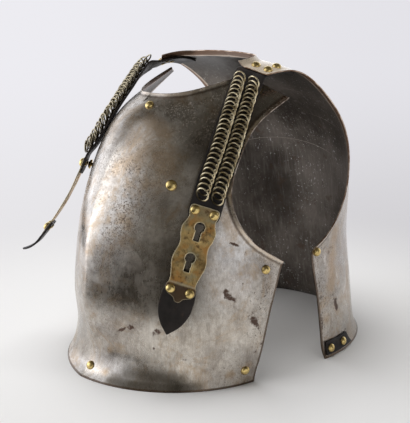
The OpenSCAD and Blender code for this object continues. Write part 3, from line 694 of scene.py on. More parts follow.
class Nodes:
    """A node tree and short calls that add its nodes."""

    def __init__(self, tree):
        self.tree = tree

    def add(self, kind, inputs=(), **settings):
        """A new node with its settings, and with its inputs set to values or joined to outputs."""
        node = self.tree.nodes.new(kind)
        for key, value in settings.items():
            setattr(node, key, value)
        for key, value in dict(inputs).items():
            self.join(value, node.inputs[key])
        return node

    def join(self, value, socket):
        if isinstance(value, bpy.types.NodeSocket):
            self.tree.links.new(value, socket)
        elif value is not None:
            socket.default_value = (*value, 1.0) if socket.type == "RGBA" else value

    def range(self, value, low, high, start=0.0, end=1.0, smooth=True):
        """What runs from start to end while a value runs from low to high."""
        inputs = {"Value": value, "From Min": low, "From Max": high, "To Min": start, "To Max": end}
        kind = "SMOOTHSTEP" if smooth else "LINEAR"
        return self.add("ShaderNodeMapRange", inputs, interpolation_type=kind).outputs[0]

    def band(self, value, low, full, full_end, high, most=1.0):
        """A band that rises from low to full and falls again from full_end to high."""
        return self.times(self.range(value, low, full), self.range(value, high, full_end, 0, most))

    def calculate(self, operation, a, b):
        return self.add("ShaderNodeMath", {0: a, 1: b}, operation=operation).outputs[0]

    def plus(self, a, b):
        return self.calculate("ADD", a, b)

    def minus(self, a, b):
        return self.calculate("SUBTRACT", a, b)

    def times(self, a, b):
        return self.calculate("MULTIPLY", a, b)

    def larger(self, a, b):
        return self.calculate("MAXIMUM", a, b)

    def vector(self, operation, a, b=None):
        node = self.add("ShaderNodeVectorMath", {0: a, 1: b}, operation=operation)
        return node.outputs["Value" if operation in ("DOT_PRODUCT", "DISTANCE") else "Vector"]

    def height_of(self, vector):
        return self.add("ShaderNodeSeparateXYZ", {0: vector}).outputs["Z"]

    def mix(self, amount, a, b):
        return self.add("ShaderNodeMix", {0: amount, 2: a, 3: b}, data_type="FLOAT").outputs[0]

    def blend(self, amount, a, b):
        """Mixes two colours."""
        return self.add("ShaderNodeMix", {0: amount, 6: a, 7: b}, data_type="RGBA").outputs[2]

    def melt(self, amount, a, b):
        """Mixes two shaders."""
        return self.add("ShaderNodeMixShader", {0: amount, 1: a, 2: b}).outputs[0]


def setting_out_tree(name, result, inputs, shape):
    """A tree that sets a shape on every point, turned by the point's own turn. shape(nodes, given)
    adds the nodes of the shape and says what goes into Instance on Points."""
    tree = bpy.data.node_groups.get(name)
    if tree:
        return tree
    tree = bpy.data.node_groups.new(name, "GeometryNodeTree")
    for label, kind, default in (("Points", "Geometry", None), *inputs, ("Finish", "Material", None)):
        socket = tree.interface.new_socket(name=label, in_out="INPUT", socket_type="NodeSocket" + kind)
        if default is not None:
            socket.default_value = default
    tree.interface.new_socket(name=result, in_out="OUTPUT", socket_type="NodeSocketGeometry")
    nodes = Nodes(tree)
    given = nodes.add("NodeGroupInput").outputs
    turn = nodes.add("GeometryNodeInputNamedAttribute", data_type="FLOAT_VECTOR")
    turn.inputs["Name"].default_value = "turn"
    put = nodes.add("GeometryNodeInstanceOnPoints", {
        "Points": given["Points"], "Rotation": turn.outputs["Attribute"], **shape(nodes, given),
    })
    real = nodes.add("GeometryNodeRealizeInstances", {"Geometry": put.outputs["Instances"]})
    finish = nodes.add("GeometryNodeSetMaterial", {
        "Geometry": real.outputs["Geometry"], "Material": given["Finish"],
    })
    nodes.add("NodeGroupOutput", {result: finish.outputs["Geometry"]})
    return tree


def scatter_tree():
    """Sets out copies of an object."""
    def shape(nodes, given):
        thing = nodes.add("GeometryNodeObjectInfo", {"Object": given["Shape"]})
        return {"Instance": thing.outputs["Geometry"], "Scale": given["Size"]}

    inputs = (("Shape", "Object", None), ("Size", "Float", 1.0))
    return setting_out_tree("Set pieces out", "Pieces", inputs, shape)


def ring_tree():
    """Sets out wire rings, and marks each ring's raised side for the painted shade in its finish."""
    def shape(nodes, given):
        ring, wire = (
            nodes.add("GeometryNodeCurvePrimitiveCircle", {
                "Radius": given[part + " radius"], "Resolution": given[part + " sides"],
            }).outputs["Curve"] for part in ("Ring", "Wire")
        )
        sweep = nodes.add("GeometryNodeCurveToMesh", {"Curve": ring, "Profile Curve": wire})
        smooth = nodes.add("GeometryNodeSetShadeSmooth", {"Geometry": sweep.outputs["Mesh"]})
        place = nodes.add("GeometryNodeInputPosition").outputs["Position"]
        keep = nodes.add("GeometryNodeStoreNamedAttribute", {
            "Geometry": smooth.outputs["Geometry"], "Name": "raised",
            "Value": nodes.vector("DOT_PRODUCT", place, given["Raised side"]),
        }, data_type="FLOAT", domain="POINT")
        return {"Instance": keep.outputs["Geometry"]}

    inputs = (
        ("Ring radius", "Float", 0.009), ("Wire radius", "Float", 0.0012),
        ("Ring sides", "Int", RING_SIDES), ("Wire sides", "Int", WIRE_SIDES),
        ("Raised side", "Vector", (0.0, 1.0, 0.0)),
    )
    return setting_out_tree("Chain row", "Chain", inputs, shape)


def set_out(name, tree, places, inputs):
    """Runs a tree over places [(point in millimetres, turn matrix)] and keeps the result."""
    mesh = bpy.data.meshes.new(name)
    mesh.from_pydata([tuple(np.asarray(p) * MM) for p, _ in places], [], [])
    turns = mesh.attributes.new("turn", "FLOAT_VECTOR", "POINT")
    for item, (_, turn) in zip(turns.data, places):
        item.vector = turn.to_euler()
    piece = new_object(name, mesh)
    modifier = piece.modifiers.new("Set out", "NODES")
    modifier.node_group = tree
    for item in tree.interface.items_tree:
        if item.in_out == "INPUT" and item.name in inputs:
            modifier[item.identifier] = inputs[item.name]
    return settle(piece)


def turn_from(x, y, z):
    """The turn that takes the axes to three directions."""
    return Matrix((Vector(x), Vector(y), Vector(z))).transposed()


def facing_turn(n):
    """A turn that stands a shape on a surface with normal n."""
    z = unit(n)
    x = unit(np.cross([0, 0, 1], z)) if abs(z[2]) < 0.95 else np.array([1.0, 0, 0])
    x = unit(x - (x @ z) * z)
    return turn_from(x, np.cross(z, x), z)


# Finishes

class Finish(Nodes):
    """A material on Object coordinates, built up as layers of colour over one another."""

    def __init__(self, name, metallic=1.0, specular=0.5):
        self.material = bpy.data.materials.new(name)
        self.material.use_nodes = True
        super().__init__(self.material.node_tree)
        self.shader = self.tree.nodes["Principled BSDF"]
        self.shader.inputs["Metallic"].default_value = metallic
        self.shader.inputs["Specular IOR Level"].default_value = specular
        self.place = self.add("ShaderNodeTexCoord").outputs["Object"]
        self.colour = None

    def noise(self, scale, detail=4.0, roughness=0.55, distortion=0.0, stretch=None, turn=(0, 0, 0)):
        """Noise on the piece, its scale multiplied along each axis by stretch and turned in degrees."""
        place = self.place
        if stretch:
            place = self.add("ShaderNodeMapping", {
                "Vector": place, "Rotation": [math.radians(c) for c in turn],
                "Scale": [1 / c for c in stretch],
            }, vector_type="TEXTURE").outputs[0]
        return self.add("ShaderNodeTexNoise", {
            "Vector": place, "Scale": scale, "Detail": detail, "Roughness": roughness,
            "Distortion": distortion,
        }).outputs["Fac"]

    def cells(self, scale, feature="F1"):
        inputs = {"Vector": self.place, "Scale": scale}
        return self.add("ShaderNodeTexVoronoi", inputs, feature=feature).outputs["Distance"]

    def attribute(self, name):
        return self.add("ShaderNodeAttribute", attribute_name=name).outputs["Fac"]

    def ragged(self, value, noise, amount):
        """A value with a noise round 0.5 added, which makes its borders uneven."""
        return self.plus(value, self.times(self.minus(noise, 0.5), amount))

    def coat(self, amount, colour):
        """Lays a colour over those before it."""
        self.colour = self.blend(amount, self.colour, colour)

    def layer(self, value, low, high, colour, most=1.0):
        """Lays a colour over those before it where a value runs from low to high."""
        self.coat(self.range(value, low, high, 0, most), colour)

    def bump(self, height, depth, strength=1.0, before=None):
        """Bumps of a depth in millimetres."""
        inputs = {"Height": height, "Distance": depth * MM, "Strength": strength, "Normal": before}
        return self.add("ShaderNodeBump", inputs).outputs[0]

    def done(self, roughness, normal=None, metallic=None):
        """Puts the layers, and what else is given, on the shader."""
        ends = {"Base Color": self.colour, "Roughness": roughness, "Normal": normal, "Metallic": metallic}
        for key, value in ends.items():
            self.join(value, self.shader.inputs[key])
        return self.material


def kept(maker):
    """Makes a finish once and hands out the same material after that."""
    store = {}

    def ask(*words):
        if words not in store:
            store[words] = maker(*words)
        return store[words]
    return ask


@kept
def worn_steel(which):
    """Satin steel, brushed, with brown clouds, dark specks, rust marks, pits and golden patches, and painted
    shade, painted highlights and painted light where it is marked.
    """
    f = Finish("Worn steel " + which)
    shade = 1.0 if which == "breast" else 0.74
    bright = tuple(shade * c for c in bpy.context.scene.cuirass_finish.steel)
    clouds = f.noise(8, 5, 0.6)
    mottle = f.noise(34, 6, 0.7, 0.3)
    fine = f.noise(130, 5, 0.7)
    grain = f.noise(620, 3, 0.75, stretch=(1, 1, 0.5))
    tone = f.plus(f.range(clouds, 0.32, 0.68, 0, 0.42), f.range(mottle, 0.3, 0.7, 0, 0.35))
    tone = f.plus(tone, f.range(grain, 0.32, 0.68, 0, 0.27))
    f.colour = f.blend(tone, tuple(0.52 * c for c in bright), bright)

    # Bluish clouds, brown dust, and smears with paler gaps between them
    f.layer(f.noise(19, 5, 0.65, 0.4, (1, 1, 0.7), (40, 10, 0)), 0.46, 0.64, (0.36, 0.355, 0.35), 0.35)
    f.layer(fine, 0.42, 0.64, (0.28, 0.24, 0.20), 0.45)
    smear = f.noise(1, 4, 0.62, 0.5, (26, 26, 9), (12, 28, 0))
    f.layer(smear, 0.50, 0.68, (0.24, 0.205, 0.175), 0.55)
    f.layer(smear, 0.46, 0.34, (0.80, 0.76, 0.71), 0.35)

    # Brown clouds and golden patches
    patches = f.times(f.attribute("golden"), f.plus(mottle, f.times(fine, 0.6)))
    brown = f.range(f.noise(15, 6, 0.78, 0.6), 0.45, 0.64, 0, 0.68)
    f.coat(f.larger(brown, f.range(patches, 0.2, 0.75, 0, 0.7)), (0.37, 0.265, 0.165))

    # Brush marks, upright low down and slanted higher up
    upright = f.noise(1, 5, 0.7, stretch=(430, 430, 60))
    slanted = f.noise(1, 5, 0.7, stretch=(300, 300, 50), turn=(20, 42, 0))
    streaks = f.mix(f.range(f.height_of(f.place), 0.17, 0.26), upright, slanted)
    f.layer(streaks, 0.50, 0.72, (0.22, 0.19, 0.165), 0.38)
    f.layer(streaks, 0.44, 0.28, (0.74, 0.71, 0.67), 0.25)
    # Painted shade and painted dark reflections, where the breast is marked dark
    f.layer(f.ragged(f.attribute("dark"), mottle, 0.5), 0.1, 0.9, (0.088, 0.074, 0.055), 0.78)

    # Specks and finer pepper, thicker where the pits are
    pits = f.attribute("pits")
    where, specks, pepper = (
        f.plus(f.noise(scale, detail, roughness), f.times(pits, more))
        for scale, detail, roughness, more in ((11, 3, 0.5, 0.35), (300, 3, 0.75, 0.06), (560, 2, 0.6, 0.05))
    )
    specks = f.larger(f.range(specks, 0.60, 0.67), f.range(pepper, 0.60, 0.67))
    specks = f.times(specks, f.range(where, 0.42, 0.60, 0, 0.85))
    f.coat(specks, (0.10, 0.07, 0.05))

    # Rust
    uneven = f.noise(120, 5, 0.7)
    stain = f.range(f.ragged(f.attribute("rust"), uneven, 2.4), 0.42, 0.85, 0, 0.95)
    rust = f.larger(stain, f.range(f.noise(52, 7, 0.72, 0.5), 0.66, 0.73, 0, 0.8))
    f.coat(rust, (0.085, 0.040, 0.024))

    # The turned edge's painted shade in its crease and painted highlight on its lip, the seams browned and
    # darkened with painted shade, and the shoulders made pale with painted light
    edge = f.ragged(f.attribute("edge"), uneven, 0.003)
    # Painted shade in the turned edge's crease, then a painted highlight on its lip
    f.coat(f.band(edge, 0.0032, 0.0048, 0.0052, 0.0085, 0.75), (0.12, 0.085, 0.062))
    lip = f.times(f.range(edge, 0.0038, 0.0020), f.range(edge, -0.001, 0.001, 0.2, 0.7))
    f.coat(lip, (0.70, 0.60, 0.50))
    # Browning and painted shade along the side edges and the foot
    seam = f.plus(f.attribute("seam"), f.times(uneven, 0.35))
    f.layer(seam, 0.62, 0.85, (0.10, 0.066, 0.045), 0.85)
    # Painted light: the back's shoulders made pale and less metallic
    pale = f.range(f.attribute("pale"), 0.15, 0.6)
    f.coat(f.times(pale, 0.85), (0.56, 0.475, 0.37))

    dull = f.larger(rust, specks)
    roughness = f.plus(f.range(mottle, 0.3, 0.7, 0.21, 0.35), f.times(dull, 0.3))
    roughness = f.plus(roughness, f.range(streaks, 0.3, 0.7, -0.03, 0.05))
    height = f.minus(f.plus(f.times(streaks, 0.4), f.times(fine, 0.2)), dull)
    normal = f.bump(f.noise(18, 2, 0.4), 1.0, 0.22, f.bump(height, 0.12, 0.7))
    return f.done(roughness, normal, f.minus(1.0, f.times(f.larger(dull, pale), 0.75)))


@kept
def dark_inside():
    """The plates' dark inner face, browned and brushed, with pale flecks, a few long scratches and a painted
    highlight along the turned edge.
    """
    f = Finish("Dark inside steel")
    clouds = f.noise(9, 5, 0.6)
    f.colour = f.blend(f.range(clouds, 0.35, 0.68), (0.10, 0.083, 0.069), (0.27, 0.235, 0.205))
    streaks = f.noise(1, 5, 0.6, stretch=(230, 230, 20), turn=(14, 0, 0))
    f.layer(streaks, 0.5, 0.75, (0.50, 0.46, 0.42), 0.32)
    f.layer(streaks, 0.45, 0.3, (0.08, 0.064, 0.052), 0.4)

    # Flecks and scratches
    dots = f.range(f.noise(260, 3, 0.75, stretch=(1, 1, 0.75), turn=(20, 0, 0)), 0.61, 0.68)
    dots = f.times(dots, f.range(f.noise(14, 3, 0.6), 0.36, 0.58, 0.1, 1.0))
    f.coat(dots, (0.85, 0.83, 0.80))
    scratches = f.noise(1, 2, 0.5, stretch=(1.5, 14, 420), turn=(38, 0, 8))
    f.layer(scratches, 0.70, 0.73, (0.80, 0.72, 0.62), 0.7)

    # Rust, the shadow inside the neck painted dark, and the turned edge's brown rust line and cream painted
    # highlight
    rust = f.range(f.noise(38, 6, 0.65), 0.56, 0.68, 0, 0.6)
    f.coat(rust, (0.13, 0.08, 0.052))
    f.layer(f.attribute("rust"), 0.3, 0.6, (0.02, 0.015, 0.012))
    f.layer(f.height_of(f.place), 0.385, 0.43, (0.045, 0.041, 0.036), 0.85)
    edge = f.ragged(f.attribute("edge"), clouds, 0.003)
    f.layer(edge, 0.0078, 0.0062, (0.23, 0.13, 0.08), 0.85)
    # A painted highlight on the turned edge, as a cream line
    f.coat(f.band(edge, 0.0052, 0.0068, 0.0080, 0.0104, 0.75), (0.78, 0.65, 0.53))

    roughness = f.plus(f.range(clouds, 0.3, 0.7, 0.36, 0.50), f.times(rust, 0.2))
    normal = f.bump(f.plus(f.noise(240, 4, 0.6), streaks), 0.15, 0.5)
    return f.done(roughness, normal, f.minus(0.75, f.times(f.larger(rust, dots), 0.4)))


@kept
def edge_steel(which):
    """The plates' edges: browned, or rubbed pale on the turned rims of the back, with painted shade along
    the side edges and the foot.
    """
    f = Finish("Steel edge " + which)
    dark, pale = {
        "browned": ((0.13, 0.085, 0.06), (0.62, 0.54, 0.46)),
        "rubbed": ((0.26, 0.15, 0.09), (0.80, 0.66, 0.54)),
    }[which]
    wear = f.noise(60, 5, 0.65)
    f.colour = f.blend(f.range(wear, 0.40, 0.64), dark, pale)
    # Painted shade on the rim along the side edges and the foot
    f.layer(f.attribute("seam"), 0.3, 0.7, (0.035, 0.028, 0.022), 0.9)
    return f.done(f.range(wear, 0.3, 0.7, 0.5, 0.34), f.bump(f.noise(300, 3), 0.1, 0.5))


@kept
def rivet_brass():
    """Aged brass, still golden on the rivets and studs."""
    f = Finish("Old brass rivets")
    f.colour = tuple(bpy.context.scene.cuirass_finish.brass)
    f.layer(f.noise(170, 4, 0.6), 0.42, 0.70, (0.30, 0.20, 0.085), 0.65)
    return f.done(f.range(f.noise(260, 3), 0.3, 0.7, 0.22, 0.38), f.bump(f.noise(420, 3), 0.06, 0.5))


@kept
def chain_brass(which):
    """Aged brass with a green tinge, bright on the rings' raised side and painted with shade behind it; the
    right chain is darker, for dirt and painted shade.
    """
    f = Finish("Old brass " + which)
    # The right chain is darker, for dirt and painted shade
    shade = 0.45 if which == "dark chain" else 1.0
    low, high = (tuple(shade * c for c in v) for v in ((0.34, 0.26, 0.14), (0.96, 0.84, 0.58)))
    tone = f.noise(85, 5, 0.65)
    f.colour = f.blend(f.range(tone, 0.34, 0.62), low, high)
    f.layer(f.noise(95, 4, 0.6), 0.56, 0.70, (0.25, 0.25, 0.16), 0.55)
    # Painted shade on each ring's side behind its raised side
    f.layer(f.attribute("raised"), 0.1, -0.7, (0.04, 0.03, 0.016), 0.92)
    return f.done(f.range(tone, 0.3, 0.7, 0.40, 0.24), f.bump(f.noise(500, 3), 0.08, 0.6))


@kept
def plate_brass():
    """Brass mottled orange and olive, with a rubbed rim, a pale painted highlight line across it and painted
    shade on the foot below.
    """
    f = Finish("Old brass plates")
    clouds = f.noise(38, 6, 0.65, 0.5)
    fine = f.noise(130, 5, 0.65)
    f.colour = f.blend(f.range(clouds, 0.35, 0.62), (0.25, 0.165, 0.065), (0.68, 0.48, 0.20))
    orange = f.noise(46, 5, 0.6, stretch=(1, 1, 1), turn=(34, 11, 52))
    f.layer(orange, 0.45, 0.60, (0.56, 0.285, 0.085), 0.85)
    olive = f.noise(64, 5, 0.6, stretch=(1, 1, 1), turn=(74, 40, 6))
    f.layer(olive, 0.50, 0.66, (0.42, 0.385, 0.24), 0.75)
    down = f.attribute("down")
    f.layer(down, 0.030, 0.008, (0.31, 0.27, 0.17), 0.7)
    f.layer(fine, 0.50, 0.68, (0.12, 0.065, 0.03), 0.8)
    rim = f.range(f.attribute("edge"), 0.0003, 0.0016, 0.75, 0.0)
    f.coat(rim, (0.78, 0.70, 0.48))
    # A painted highlight line across the plate, and painted shade on the foot below it, which is also less
    # metallic
    f.coat(f.band(down, 0.108, 0.111, 0.111, 0.114, 0.6), (0.62, 0.56, 0.40))
    foot = f.range(down, 0.111, 0.114, 0.0, 0.95)
    f.coat(f.times(foot, f.range(rim, 0, 1, 1, 0.6)), (0.06, 0.035, 0.02))
    normal = f.bump(f.plus(fine, clouds), 0.22, 0.5)
    return f.done(f.range(clouds, 0.3, 0.7, 0.50, 0.33), normal, f.minus(0.92, f.times(foot, 0.45)))


@kept
def old_leather():
    """Near-black strap leather with a fine pebble grain, creases and scuffed brown edges."""
    f = Finish("Old strap leather", 0.0, 0.28)
    base = tuple(bpy.context.scene.cuirass_finish.leather)
    clouds = f.noise(42, 5, 0.6)
    f.colour = f.blend(f.range(clouds, 0.35, 0.7), base, tuple(2.1 * c for c in base))
    f.layer(f.noise(120, 4, 0.65), 0.58, 0.74, (0.055, 0.032, 0.022), 0.5)
    creases = f.range(f.cells(110, "DISTANCE_TO_EDGE"), 0.0, 0.05)
    height = f.plus(f.times(f.cells(900), 0.5), f.times(creases, 0.35))
    return f.done(f.range(clouds, 0.3, 0.7, 0.62, 0.44), f.bump(height, 0.16, 0.6))


STUDIO_EYE = (0.961, -0.580, 0.523)
STUDIO_RIGHT = (0.6468, 0.7626, 0.0)


def background_colour(nodes, direction):
    """The seamless background: pale lavender high on the left, greyer to the right as painted shade away
    from the key light, and warmer low down.
    """
    across = nodes.range(nodes.vector("DOT_PRODUCT", direction, STUDIO_RIGHT), -0.22, 0.26)
    rise = nodes.height_of(direction)
    high = nodes.blend(across, (0.845, 0.838, 0.88), (0.775, 0.768, 0.81))
    middle = nodes.blend(across, (0.79, 0.78, 0.80), (0.635, 0.625, 0.645))
    low = nodes.blend(across, (0.755, 0.745, 0.715), (0.62, 0.61, 0.59))
    upper = nodes.blend(nodes.range(rise, -0.30, -0.06), middle, high)
    return nodes.blend(nodes.range(rise, -0.46, -0.32), low, upper)


@kept
def pale_floor():
    """The seamless floor, lit close by and melting into the background further off. For glossy rays it glows
    as painted reflections: brighter towards the key light and beside the plates, and a dim room colour far
    in front of the breast."""
    f = Finish("Pale floor", 0.0, 0.1)
    f.colour = tuple(bpy.context.scene.cuirass_stage.floor)
    f.done(0.85)
    rays = f.add("ShaderNodeLightPath").outputs
    glossy = rays["Is Glossy Ray"]
    reach = f.vector("DISTANCE", f.place, (0.02, 0.24, 0))
    direction = f.vector("NORMALIZE", f.vector("SUBTRACT", f.place, STUDIO_EYE))
    ahead = f.vector("NORMALIZE", f.place)

    def towards(way, aim, low, high, start=0.0, end=1.0):
        return f.range(f.vector("DOT_PRODUCT", way, aim), low, high, start, end)

    # Painted reflections: for glossy rays the floor glows brighter towards the key light and beside the
    # plates
    lit = towards(direction, (-0.83, -0.55, 0), 0.72, 0.95, 1.4, 2.9)
    glow = f.add("ShaderNodeEmission", {
        "Color": background_colour(f, direction), "Strength": f.mix(glossy, 1.0, lit),
    })
    beside = f.times(towards(ahead, (1.0, 0.0, 0.0), 0.55, 0.9), f.range(reach, 0.16, 0.34, 0, 0.75))
    amount = f.times(f.larger(rays["Is Camera Ray"], glossy), f.range(reach, 0.34, 0.95))
    amount = f.larger(amount, f.times(glossy, beside))
    surface = f.melt(amount, f.shader.outputs[0], glow.outputs[0])
    # Painted dark reflection: for glossy rays the floor far in front of the breast shows a dim room colour
    room = f.add("ShaderNodeEmission", {"Color": (0.043, 0.037, 0.028)})
    far = f.times(towards(ahead, (0.26, -0.966, 0), 0.62, 0.86), f.range(reach, 0.3, 0.62))
    surface = f.melt(f.times(glossy, far), surface, room.outputs[0])
    f.join(surface, f.tree.nodes["Material Output"].inputs["Surface"])
    return f.material


# Settings

class CuirassPlates(PropertyGroup):
    rivet_head: FloatProperty(
        name="Rivet head", description="Diameter of a domed rivet head", default=0.0132, unit="LENGTH")
    rivet_height: FloatProperty(
        name="Rivet height", description="Height of a domed rivet head", default=0.0046, unit="LENGTH")
    stud_head: FloatProperty(
        name="Stud head", description="Diameter of a strap stud's head", default=0.015, unit="LENGTH")


class CuirassStraps(PropertyGroup):
    ring_radius: FloatProperty(
        name="Ring radius", description="Radius of a chain ring, to its wire's middle",
        default=0.009, unit="LENGTH")
    wire: FloatProperty(
        name="Ring wire", description="Thickness of the ring wire", default=0.0024, unit="LENGTH")
    pitch: FloatProperty(
        name="Ring pitch", description="Distance from one ring to the next", default=0.007, unit="LENGTH")
    row_gap: FloatProperty(
        name="Row distance", description="Distance between the two chain rows",
        default=0.021, unit="LENGTH")
    roll: FloatProperty(
        name="Ring roll", description="How much every other ring rolls to a side",
        default=math.radians(5), subtype="ANGLE")
    lean: FloatProperty(
        name="Ring lean", description="How much all the rings roll towards the middle of the strap",
        default=math.radians(24), subtype="ANGLE")
    tip: FloatProperty(
        name="Ring tip", description="How much each ring tips along its row",
        default=math.radians(36), subtype="ANGLE")


class CuirassFinish(PropertyGroup):
    steel: FloatVectorProperty(
        name="Steel", description="Colour of the bright steel",
        default=(0.74, 0.68, 0.61), subtype="COLOR", min=0, max=1)
    brass: FloatVectorProperty(
        name="Brass", description="Colour of the clean brass",
        default=(0.76, 0.58, 0.24), subtype="COLOR", min=0, max=1)
    leather: FloatVectorProperty(
        name="Leather", description="Colour of the strap leather",
        default=(0.013, 0.0105, 0.0095), subtype="COLOR", min=0, max=1)


class CuirassStage(PropertyGroup):
    floor: FloatVectorProperty(
        name="Floor", description="Colour of the floor close by",
        default=(0.80, 0.79, 0.78), subtype="COLOR", min=0, max=1)
    key: FloatProperty(
        name="Key light", description="Power of the soft light on the left", default=3.8, unit="POWER")
    top: FloatProperty(
        name="Top light", description="Power of the light over the floor", default=31.5, unit="POWER")


# The pieces

# Painted shade on the breast beside the straps and under the keyhole plates: points down the plate, and the
# shade's reach
SHADE_POINTS = range(0, 106, 7)    # down the keyhole plate's middle, for the dark breast under it
STRAP_SHADE, PLATE_SHADE = 38, 45
# Where the back's shoulders are painted pale as painted light, and its reach in millimetres
BACK_SHOULDER, SHOULDER_REACH = (0.52, 9.75), 75


class CUIRASS_OT_breastplate(Operator):
    """Make the breastplate with its turned neck, armhole edges and flared lower edge"""
    bl_idname = "cuirass.breastplate"
    bl_label = "Breastplate"

    def execute(self, context):
        marks = dict(BREAST_MARKS, dark=list(BREAST_MARKS["dark"]))
        # The straps' and keyhole plates' painted shadows on the breast
        for strap in STRAPS.values():
            under = [strap.on_plate(np.float64(0), s, 0) for s in SHADE_POINTS]
            marks["dark"] += [[*(strap.middle * strap.flip), STRAP_SHADE], [*under, PLATE_SHADE]]
        steels = [worn_steel("breast"), dark_inside(), edge_steel("browned")]
        piece = plate_sheet("breastplate_steel", BREAST, BENT_SHOULDER, steels, marks, BREAST_DENTS)
        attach(piece, "breast")
        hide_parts("breastplate")
        return {"FINISHED"}


class CUIRASS_OT_backplate(Operator):
    """Make the backplate with its collar and armhole edges"""
    bl_idname = "cuirass.backplate"
    bl_label = "Backplate"

    def execute(self, context):
        # The shoulders' painted light
        shoulder = BACK.skin(*BACK_SHOULDER)
        marks = dict(BACK_MARKS, pale=[[shoulder * flip, SHOULDER_REACH] for flip in BOTH_SIDES])
        steels = [worn_steel("back"), dark_inside(), edge_steel("rubbed")]
        piece = plate_sheet("backplate_steel", BACK, 0, steels, marks)
        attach(piece, "back")
        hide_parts("backplate")
        return {"FINISHED"}


# Places of the rivets and studs on their plates
NECK_RIVET, FLARE_RIVET = (0.07, 8.67), (0.02, 1.05)
BREAST_CORNERS = ((0.9, 5.12), (0.912, 1.46))
STUD = (0.4, 6.86)
BACK_CORNER = (0.965, 4.9)
ANCHORS = ((0.453, 9.73), (0.562, 9.72), (0.535, 9.34))
BELT_RIVETS = ((0.945, 0.95), (0.832, 0.95))
SIDES = (("left", 1), ("right", -1))
# A rivet's or stud's tail behind the stack: its radius, its height, its gap, and the shank's radius
TAIL, TAIL_HEIGHT, TAIL_GAP, SHANK = 3.25, 1.2, 0.3, 2.0


def on_skin(plate, place, side=1, lift=0.0):
    """A place on a plate, lifted from it, and the turn that stands a rivet there."""
    p, n = plate.skin(*place), plate.out(*place)
    flip = np.array([side, 1, 1])
    return (p + lift * n) * flip, facing_turn(n * flip)


def tail(grip):
    """The profile of a tail and shank, through a stack as thick as grip."""
    foot = -grip - TAIL_GAP
    return [[TAIL, foot - TAIL_HEIGHT], [TAIL, foot], [SHANK, foot]]


def rivet_shape(grip, sunk=1.4):
    """A domed rivet head with the headed tail behind the stack, sunk into what it sits on."""
    sizes = bpy.context.scene.cuirass_plates
    r, h = sizes.rivet_head / MM / 2, sizes.rivet_height / MM
    dome = [[r * math.cos(a), 0.15 + h * math.sin(a)] for a in np.linspace(0.12, math.pi / 2, 8)]
    profile = tail(grip) + [[SHANK, -sunk], [r * 0.97, -sunk], [r, 0.0]] + dome
    return turned_shape("rivet", profile, rivet_brass())


def rivets(name, grip, places, body, nodes, sunk=1.4):
    """A group of rivets through a stack, which rides on a body and stands for nodes."""
    shape = rivet_shape(grip, sunk)
    piece = set_out(name, scatter_tree(), places, {"Shape": shape, "Size": 1.0, "Finish": rivet_brass()})
    bpy.data.objects.remove(shape)
    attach(piece, body)
    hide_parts(*nodes)


class CUIRASS_OT_rivets(Operator):
    """Set the domed brass rivets on both plates and through the straps' roots"""
    bl_idname = "cuirass.rivets"
    bl_label = "Plate rivets"

    def execute(self, context):
        places = [on_skin(BREAST, NECK_RIVET, 1, 0.6), on_skin(BREAST, FLARE_RIVET)]
        places += [on_skin(BREAST, p, side) for side in (1, -1) for p in BREAST_CORNERS]
        rivets("breast_rivet_heads", BREAST.thickness, places, "breast", ["breast_rivets"])
        places = [on_skin(BACK, BACK_CORNER, side, 0.8) for side in (1, -1)]
        rivets("back_rivet_heads", BACK.thickness, places, "back", ["back_rivets"], 2.2)
        grip = BACK.thickness + PIECE_GAP + LEATHER
        for word, side in SIDES:
            places = [on_skin(BACK, p, side) for p in ANCHORS]
            rivets(word + "_anchor_rivet_heads", grip, places, "back", [word + "_anchor_rivets"])
        return {"FINISHED"}


class CUIRASS_OT_studs(Operator):
    """Set the two strap studs on the breast"""
    bl_idname = "cuirass.studs"
    bl_label = "Strap studs"

    def execute(self, context):
        r = context.scene.cuirass_plates.stud_head / MM / 2
        collar, neck, head = 1.5, 3, 4.1
        profile = tail(BREAST.thickness) + [[SHANK, -0.8], [r - 1.4, -0.8], [r - 1.5, collar]]
        profile += [[neck, collar + 0.05], [neck, head], [r - 0.3, head], [r, head + 0.25]]
        dome = np.linspace(0.1, math.pi / 2, 9)
        profile += [[r * math.cos(a), head + 0.3 + 4.2 * math.sin(a)] for a in dome]
        for word, side in SIDES:
            shape = turned_shape("stud", profile, rivet_brass(), 32)
            inputs = {"Shape": shape, "Size": 1.0, "Finish": rivet_brass()}
            piece = set_out(word + "_strap_stud", scatter_tree(), [on_skin(BREAST, STUD, side)], inputs)
            bpy.data.objects.remove(shape)
            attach(piece, "breast")
            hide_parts(word + "_stud")
        return {"FINISHED"}


# The strap leather's rows: their distance, where the root ends and the band starts down the strap,
# the station where the root begins on the shoulder, and the root's rows there
ROW_STEP, ROOT_END, BAND_START = 3.0, 13.0, 13.3
ROOT_FROM, ROOT_ROWS = 8.85, 14
STRAIGHT = np.zeros(3)
# The strap's rounded end: [distance down from its last point, half width]
STRAP_END = [[0, 22], [6, 22], [12, 22], [17, 20.5], [21, 17.5], [24.5, 12.5], [26.5, 6], [27, 2]]
TONGUE_BEND = 8                    # half the length over which the tongue bends at its joint; the points it gives are worked out and not used


def strap_rows(strap, start, stop):
    """Rows across a strap between two distances: [inner point, outer point, outward, no bow]."""
    line = (strap.middle, strap.across, strap.up, strap.out)
    rows = []
    for s in np.arange(start, stop + 1e-6, ROW_STEP):
        p, x, _, z = frame_along(line, min(s, line_length(line) - 1e-6))
        rows.append((p - STRAP_WIDTH / 2 * x, p + STRAP_WIDTH / 2 * x, z, STRAIGHT))
    return rows


